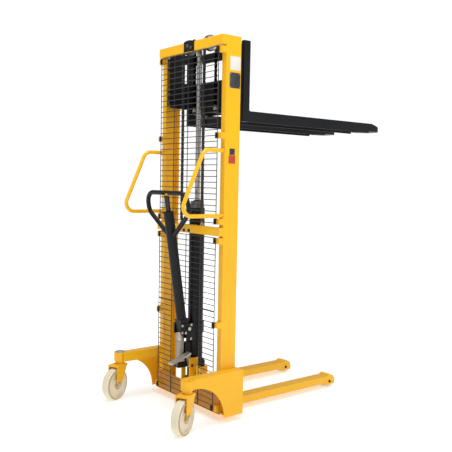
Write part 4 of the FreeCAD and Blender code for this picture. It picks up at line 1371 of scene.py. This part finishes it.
    def _base_seams(self, side: Side) -> list[Path]:
        """Gives the seams of the arm, pump bracket, crossbar and kingpin housing on one side.

        Args:
            side: The side.

        Returns:
            The seams' lines.
        """
        sign, lift, back = side.value, BEAD_LIFT, self.upright.high.y
        arm, arm_top = sign * (self.upright.high.x + lift), self.housing.high.z + lift
        cheek = RIGHT_CHEEK + lift if side is Side.RIGHT else self.bracket.low.x - lift
        foot = self.cross_plate.high.z + lift
        bar = sign * (self.leg.low.x - lift)
        reach = self.housing.size.x / 2 + self.ring_lift
        collar = (sign * self.housing.middle.x, self.housing.middle.y, self.housing.high.z - self.seam_gap)
        return [[(arm, self.seam_inset, arm_top), (arm, back, arm_top)],
                [(cheek, self.bracket.low.y, foot), (cheek, self.cheek_end, foot)],
                [(bar, back + self.bar_gap, end) for end in self.bar_ends],
                arc(collar, (reach, 0.0, 0.0), (0.0, reach, 0.0), math.pi, 25)]


@dataclass
class ForkCarriage:
    """Welds and roller faces of the fork carriage."""

    shop: Workshop
    fork: Box = node_box("right_fork")
    lower_plate: Box = node_box("lower_plate")
    upper_bar: Box = node_box("upper_bar")
    post_face: float = 0.260
    post_front: float = 0.150
    post_ends: Range = (1.738, 2.056)
    lower_inset: float = 0.002
    upper_inset: float = 0.001
    roller_gap: float = 0.0001
    roller_depth: float = 0.050
    outer_race: Profile = Profile(((0.0330, 0.0), (0.0330, 0.0012), (0.0295, 0.0012), (0.0285, 0.0)), 36)
    inner_race: Profile = Profile.band(0.0130, 0.0200, 0.0, 0.0016, 32)

    def build(self) -> None:
        """Makes the pieces."""
        paths = [path for side in Side for path in self._seams(side.value)]
        self.shop.beads("carriage_welds", "carriage", paths, Slot.BLACK)
        for side in Side:
            for level in ("lower", "upper"):
                self._roller_face(side, f"{side.word}_{level}_roller")

    def _seams(self, sign: int) -> list[Path]:
        """Gives the seams of one fork, the plates and one post.

        Args:
            sign: The side's sign along X.

        Returns:
            The seams' lines.
        """
        lift, fork = BEAD_LIFT, self.fork
        heel, top = fork.low.y + lift, fork.high.z + lift
        root = sign * (fork.low.x - lift)
        paths: list[Path] = [[(sign * fork.low.x, heel, top), (sign * fork.high.x, heel, top)],
                             [(root, heel, fork.low.z), (root, heel, fork.high.z)]]
        for plate, inset in ((self.lower_plate, self.lower_inset), (self.upper_bar, self.upper_inset)):
            end, face = sign * (plate.high.x - lift), plate.low.y - lift
            paths.append([(end, face, plate.low.z + inset), (end, face, plate.high.z - inset)])
        post, front = sign * (self.post_face + lift), self.post_front - lift
        paths.append([(post, front, end) for end in self.post_ends])
        return paths

    def _roller_face(self, side: Side, body: str) -> None:
        """Makes the bearing rings on one mast roller's inner face.

        Args:
            side: The roller's side.
            body: The roller's node and body.
        """
        roller = Box(*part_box(body))
        inner = min(abs(roller.low.x), abs(roller.high.x)) + self.roller_gap
        place = pointed((side.value * inner, self.roller_depth, roller.middle.z), side.inward.value)
        rings = Lathe().turn(self.outer_race, place).turn(self.inner_race, place)
        self.shop.turned(f"{body}_rings", body, Slot.PLATED, rings)


@dataclass
class Casters:
    """Nuts, axle caps and bearing rings of the two swivel casters."""

    shop: Workshop
    housing: Box = node_box("right_kingpin_housing")
    wheel: Box = node_box("right_caster_wheel")
    trail: float = 0.045
    yoke_face: float = 0.035
    wheel_face: float = 0.025
    swivels: Range = (22.0, 27.5)
    kingpin_washer: Profile = Profile.solid((0.0304, 0.0006), (0.0304, 0.0028), (0.0294, 0.0034), sides=40)
    kingpin_nut: Profile = Profile.solid((0.0212, 0.0030), (0.0216, 0.0040), (0.0216, 0.0072),
                                         (0.0196, 0.0084), sides=6)
    axle_washer: Profile = Profile.solid((0.0172, 0.0002), (0.0172, 0.0016))
    axle_nut: Profile = Profile.solid((0.0152, 0.0014), (0.0154, 0.0024), (0.0154, 0.0066),
                                      (0.0138, 0.0076), sides=6)
    bearing: Profile = Profile(((0.0240, -0.0006), (0.0240, 0.0010), (0.0225, 0.0016), (0.0200, 0.0016),
                                (0.0190, 0.0006), (0.0140, 0.0006), (0.0130, 0.0018), (0.0088, 0.0018),
                                (0.0088, -0.0006)), 36)
    tread_seam: Profile = Profile(((0.0826, -0.0010), (0.0826, 0.0004), (0.0815, 0.0007), (0.0797, 0.0007),
                                   (0.0788, 0.0003), (0.0788, -0.0010)), 64)
    hub_seam: Profile = Profile(((0.0296, -0.0012), (0.0292, 0.0006), (0.0255, 0.0006),
                                 (0.0250, -0.0012)), 48)
    tread_edge: Profile = Profile(((0.0878, -0.0036), (0.0884, -0.0025), (0.0863, -0.0015), (0.0837, -0.0004),
                                   (0.0832, -0.0014)), 64)

    def build(self) -> None:
        """Makes the pieces of both casters."""
        for side, swivel in zip(Side, self.swivels):
            kingpin = Vector((side.value * self.housing.middle.x, self.housing.middle.y, self.housing.high.z))
            self._kingpin(side, kingpin)
            self._axle(side.word, kingpin, math.radians(swivel))

    def _kingpin(self, side: Side, place: Vector) -> None:
        """Makes the washer and the low hex nut on top of one arm, painted over on the right one.

        Args:
            side: The caster's side.
            place: The top of its kingpin's housing.
        """
        foot = Matrix.Translation(place)
        stack = Lathe().turn(self.kingpin_washer, foot).turn(self.kingpin_nut, foot)
        slot = Slot.YELLOW if side is Side.RIGHT else Slot.PLATED
        self.shop.turned(f"{side.word}_kingpin_nut", f"{side.word}_caster", slot, stack)

    def _axle(self, side: str, kingpin: Vector, swivel: float) -> None:
        """Makes the axle's hex caps, the wheel's bearing rings and dark brown rings at the seams of its tread
        and hub, which paint the shade in those recesses.

        Args:
            side: The side's name.
            kingpin: The top of the kingpin's housing.
            swivel: The yoke's turn at rest.
        """
        middle = Vector((kingpin.x + self.trail * math.sin(swivel), kingpin.y - self.trail * math.cos(swivel),
                         self.wheel.middle.z))
        along = Vector((math.cos(swivel), math.sin(swivel), 0.0))
        caps, rings, seams = Lathe(), Lathe(), Lathe()
        for way in (along, -along):
            outer, face = (pointed(middle + reach * way, way) for reach in (self.yoke_face, self.wheel_face))
            caps.turn(self.axle_washer, outer).turn(self.axle_nut, outer)
            rings.turn(self.bearing, face)
            seams.turn(self.tread_seam, face).turn(self.hub_seam, face).turn(self.tread_edge, face)
        self.shop.turned(f"{side}_axle_caps", f"{side}_caster", Slot.PLATED, caps)
        self.shop.turned(f"{side}_wheel_bearings", f"{side}_caster_wheel", Slot.PLATED, rings)
        # The seam rings are dark brown to paint the shade in the tread and hub recesses.
        self.shop.turned(f"{side}_wheel_seams", f"{side}_caster_wheel", Slot.NYLON, seams,
                         self.shop.palette.aged)


@dataclass
class HandPump:
    """Fittings of the pump, its ears, bracket, reservoir and pedal."""

    shop: Workshop
    cylinder: Box = node_box("pump_cylinder")
    block: Box = node_box("pump_block")
    bracket: Box = node_box("pump_bracket")
    filler: Box = node_box("filler_cap")
    ear_face: float = 0.036
    ear_spots: tuple[Range, ...] = ((-0.070, 0.481), (-0.008, 0.481), (-0.010, 0.401), (-0.071, 0.441),
                                    (-0.046, 0.438))
    ear_bolt: float = 0.0054
    plug_side: float = 0.013
    plug_height: float = 0.256
    plug: float = 0.0065
    right_spot: Range = (0.018, 0.200)
    right_size: float = 0.8
    left_spot: Range = (-0.014, 0.256)
    pin_reach: float = 0.041
    pin_cap: Profile = Profile.solid((0.0105, 0.0002), (0.0105, 0.0022), (0.0090, 0.0034))
    collar: Profile = Profile(((0.0232, 0.0), (0.0300, 0.0), (0.0300, 0.006), (0.0280, 0.009),
                               (0.0250, 0.010), (0.0236, 0.013), (0.0232, 0.013)), 40)
    filler_side: float = 0.096
    filler_radius: float = 0.0172
    filler_ribs: int = 20
    filler_washer: Profile = Profile.band(0.0082, 0.0150, -0.0034, -0.0006, 32)
    pedal_pin: Point = (0.0524, -0.010, 0.247)
    pedal_washer: Profile = Profile.band(0.0062, 0.0100, 0.0, 0.0016)
    pedal_clip: Profile = Profile.solid((0.0064, 0.0014), (0.0064, 0.0048), (0.0052, 0.0060))
    boot_head: float = 0.4315
    boot_folds: int = 6
    boot_bore: float = 0.0116
    boot_valley: float = 0.0206
    boot_ridge: float = 0.0230
    boot_lip: float = 0.0004
    boot_lift: float = 0.0002

    def build(self) -> None:
        """Makes the pieces."""
        self._bolts()
        shop, plated = self.shop, Slot.PLATED
        pins = Lathe()
        for side in Side:
            end = (side.value * self.pin_reach, *TILLER_PIVOT[1:])
            pins.turn(self.pin_cap, pointed(end, side.outward.value))
        shop.turned("tiller_pin_caps", "frame", plated, pins)
        neck = Matrix.Translation((0.0, self.cylinder.middle.y, self.cylinder.low.z))
        shop.turned("pump_cylinder_ring", "frame", plated, Lathe().turn(self.collar, neck))
        self._boot()
        foot = (self.filler_side, self.filler.middle.y, self.filler.low.z)
        shop.ribbed("filler_knob", Slot.PLASTIC, foot, self.filler_radius, self.filler.size.z,
                    self.filler_ribs, "filler_cap")
        seal = Lathe().turn(self.filler_washer, Matrix.Translation(foot))
        shop.turned("filler_washer", "frame", Slot.PLASTIC, seal, shop.palette.rubber)
        pedal = pointed(self.pedal_pin, Facing.RIGHT.value)
        clip = Lathe().turn(self.pedal_washer, pedal).turn(self.pedal_clip, pedal)
        shop.turned("pedal_pin_clip", "frame", Slot.CAST, clip)

    def _bolts(self) -> None:
        """The bolts of the ears, the block's plugs and the bolts of the bracket's cheeks."""
        ears = [Spot((side.value * self.ear_face, y, z), side.outward)
                for side in Side for y, z in self.ear_spots]
        self.shop.bolts("ear_bolts", "frame", ears, radius=self.ear_bolt)
        plugs = [Spot((side.value * self.plug_side, self.block.low.y, self.plug_height), Facing.FRONT)
                 for side in Side]
        self.shop.bolts("block_plugs", "frame", plugs, Slot.CAST, self.plug)
        cheeks = [Spot((RIGHT_CHEEK, *self.right_spot), Facing.RIGHT, self.right_size),
                  Spot((self.bracket.low.x, *self.left_spot), Facing.LEFT)]
        self.shop.bolts("cheek_bolts", "frame", cheeks, Slot.CAST, self.plug)

    def _boot(self) -> None:
        """Makes the folded boot under the plunger's head."""
        y, foot = self.cylinder.middle.y, self.cylinder.high.z
        tall = self.boot_head - foot
        points = [(self.boot_bore, self.boot_lift)]
        for index in range(self.boot_folds):
            low, high = (tall * step / self.boot_folds for step in (index, index + 1))
            points += [(self.boot_valley, low + self.boot_lip), (self.boot_ridge, (low + high) / 2),
                       (self.boot_valley, high - self.boot_lip)]
        points.append((self.boot_bore, tall))
        folds = Lathe().turn(Profile(tuple(points), 40), Matrix.Translation((0.0, y, foot)))
        boot = closed("plunger_boot", folds.mesh, self.shop.palette[Slot.PLATED])
        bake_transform(boot)
        LOG.info("made %s between frame and plunger with %d folds", boot.name, self.boot_folds)


@dataclass
class Tiller:
    """Fittings on the tiller: the rim of its tube and the welds of its loop."""

    shop: Workshop
    lean: float = math.radians(9.1)
    offset: float = -0.020
    rim_reach: float = 0.682
    rim: Profile = Profile(((0.0287, -0.010), (0.0297, -0.009), (0.0297, -0.001), (0.0285, 0.0006),
                            (0.0250, 0.0006), (0.0247, -0.010)), 36)
    loop_reach: float = 0.550
    weld_side: float = 0.0280
    weld_bulge: float = 0.0025
    weld_width: float = 0.0135
    weld_height: float = 0.0160
    weld_radius: float = 0.0026

    def build(self) -> None:
        """Makes the pieces."""
        seat = Matrix.Translation(TILLER_PIVOT) @ Matrix.Rotation(self.lean, 4, "X")
        end = seat @ Matrix.Translation((0.0, self.offset, self.rim_reach))
        self.shop.turned("tube_rim", "tiller", Slot.BLACK, Lathe().turn(self.rim, end))
        welds = []
        for side in Side:
            middle = (side.value * self.weld_side, self.offset, self.loop_reach)
            ring = arc(middle, (0.0, self.weld_width, 0.0),
                       (side.value * self.weld_bulge, 0.0, self.weld_height), count=29)
            welds.append([seat @ Vector(point) for point in ring])
        self.shop.beads("loop_welds", "tiller", welds, Slot.BLACK, self.weld_radius)


@dataclass(frozen=True)
class Lamp:
    """A square soft light."""

    name: str
    place: Point
    aim: Point
    size: float
    power: float


@dataclass
class Stage:
    """The pale floor, the soft lights and the camera."""

    azimuth: float = math.radians(51.58)
    pitch: float = math.radians(3.78)
    roll: float = math.radians(1.11)
    eye: Point = (3.157, -2.244, 1.306)
    focal: float = 676.6
    image: int = 452
    sensor: float = 36.0
    far: float = 200.0
    floor_reach: float = 40.0
    floor_fade: Range = (1.0, 3.6)
    floor_glow: Range = (0.34, 0.72)
    room_light: float = 0.38
    room_seen: float = 1.05
    lamps: tuple[Lamp, ...] = (
        Lamp("key", (4.2, 0.6, 3.2), (0.0, 0.0, 1.0), 2.4, 53.0),
        Lamp("top", (0.4, -0.6, 5.0), (0.0, 0.1, 0.8), 3.0, 160.0),
        Lamp("front", (0.6, -4.6, 2.2), (0.0, 0.0, 1.0), 2.2, 8.0))

    def build(self) -> None:
        """Makes the whole stage."""
        self._floor()
        self._world()
        for lamp in self.lamps:
            self._light(lamp)
        self._camera()
        bpy.context.scene.view_settings.view_transform = "Standard"

    def _floor(self) -> None:
        """A wide pale floor that glows more away from the part."""
        mesh = bpy.data.meshes.new("floor")
        corners = [(x * self.floor_reach, y * self.floor_reach, 0.0)
                   for x, y in ((-1, -1), (1, -1), (1, 1), (-1, 1))]
        mesh.from_pydata(corners, [], [(0, 1, 2, 3)])
        made = bpy.data.materials.new("pale_floor")
        made.use_nodes = True
        maker = NodeMaker(made.node_tree)
        place = maker.add("ShaderNodeTexCoord").outputs["Object"]
        away = maker.add("ShaderNodeVectorMath", {0: place}, operation="LENGTH").outputs["Value"]
        glow = maker.ramp(away, *self.floor_fade, *self.floor_glow)
        shader = made.node_tree.nodes["Principled BSDF"]
        made.node_tree.links.new(glow, shader.inputs["Emission Strength"])
        for label, value in (("Base Color", (0.92, 0.92, 0.92, 1.0)), ("Roughness", 0.9),
                             ("Emission Color", (1.0, 1.0, 1.0, 1.0)), ("Specular IOR Level", 0.1)):
            shader.inputs[label].default_value = value
        mesh.materials.append(made)
        floor = bpy.data.objects.new("floor", mesh)
        bpy.context.scene.collection.objects.link(floor)

    def _world(self) -> None:
        """A white surround, brighter to the camera than to the part."""
        world = bpy.data.worlds.new("white_room")
        world.use_nodes = True
        maker = NodeMaker(world.node_tree)
        seen = maker.add("ShaderNodeLightPath").outputs["Is Camera Ray"]
        back = world.node_tree.nodes["Background"]
        back.inputs["Color"].default_value = (1.0, 1.0, 1.0, 1.0)
        strength = maker.ramp(seen, 0.0, 1.0, self.room_light, self.room_seen)
        world.node_tree.links.new(strength, back.inputs["Strength"])
        bpy.context.scene.world = world

    @staticmethod
    def _light(lamp: Lamp) -> None:
        """Hangs one soft light and aims it.

        Args:
            lamp: The light's place, aim, size and power.
        """
        light = bpy.data.lights.new(lamp.name, "AREA")
        light.size = lamp.size
        light.energy = lamp.power
        holder = bpy.data.objects.new(lamp.name, light)
        holder.location = lamp.place
        holder.rotation_euler = (Vector(lamp.aim) - Vector(lamp.place)).to_track_quat("-Z", "Y").to_euler()
        bpy.context.scene.collection.objects.link(holder)

    def _camera(self) -> None:
        """The camera at the photograph's viewing angle."""
        flat = math.cos(self.pitch)
        forward = Vector((-math.sin(self.azimuth) * flat, math.cos(self.azimuth) * flat,
                          -math.sin(self.pitch)))
        level = Vector((math.cos(self.azimuth), math.sin(self.azimuth), 0.0))
        upright = level.cross(forward)
        right = math.cos(self.roll) * level + math.sin(self.roll) * upright
        up = math.cos(self.roll) * upright - math.sin(self.roll) * level
        data = bpy.data.cameras.new("camera")
        data.sensor_width = self.sensor
        data.lens = self.focal / self.image * self.sensor
        data.clip_end = self.far
        camera = bpy.data.objects.new("camera", data)
        turn = Matrix((right, up, -forward)).transposed().to_4x4()
        camera.matrix_world = Matrix.Translation(self.eye) @ turn
        bpy.context.scene.collection.objects.link(camera)
        bpy.context.scene.camera = camera


def main() -> None:
    """Builds the looks of the whole part in order."""
    logging.basicConfig(level=logging.INFO, format="%(message)s")
    Stage().build()
    palette = Palette()
    palette.dress_nodes()
    shop = Workshop(palette)
    for assembly in (WireGuard, LiftGear, MastFrame, ForkCarriage, Casters, HandPump, Tiller):
        assembly(shop).build()
        LOG.info("finished %s", assembly.__name__)


if __name__ == "__main__":
    main()
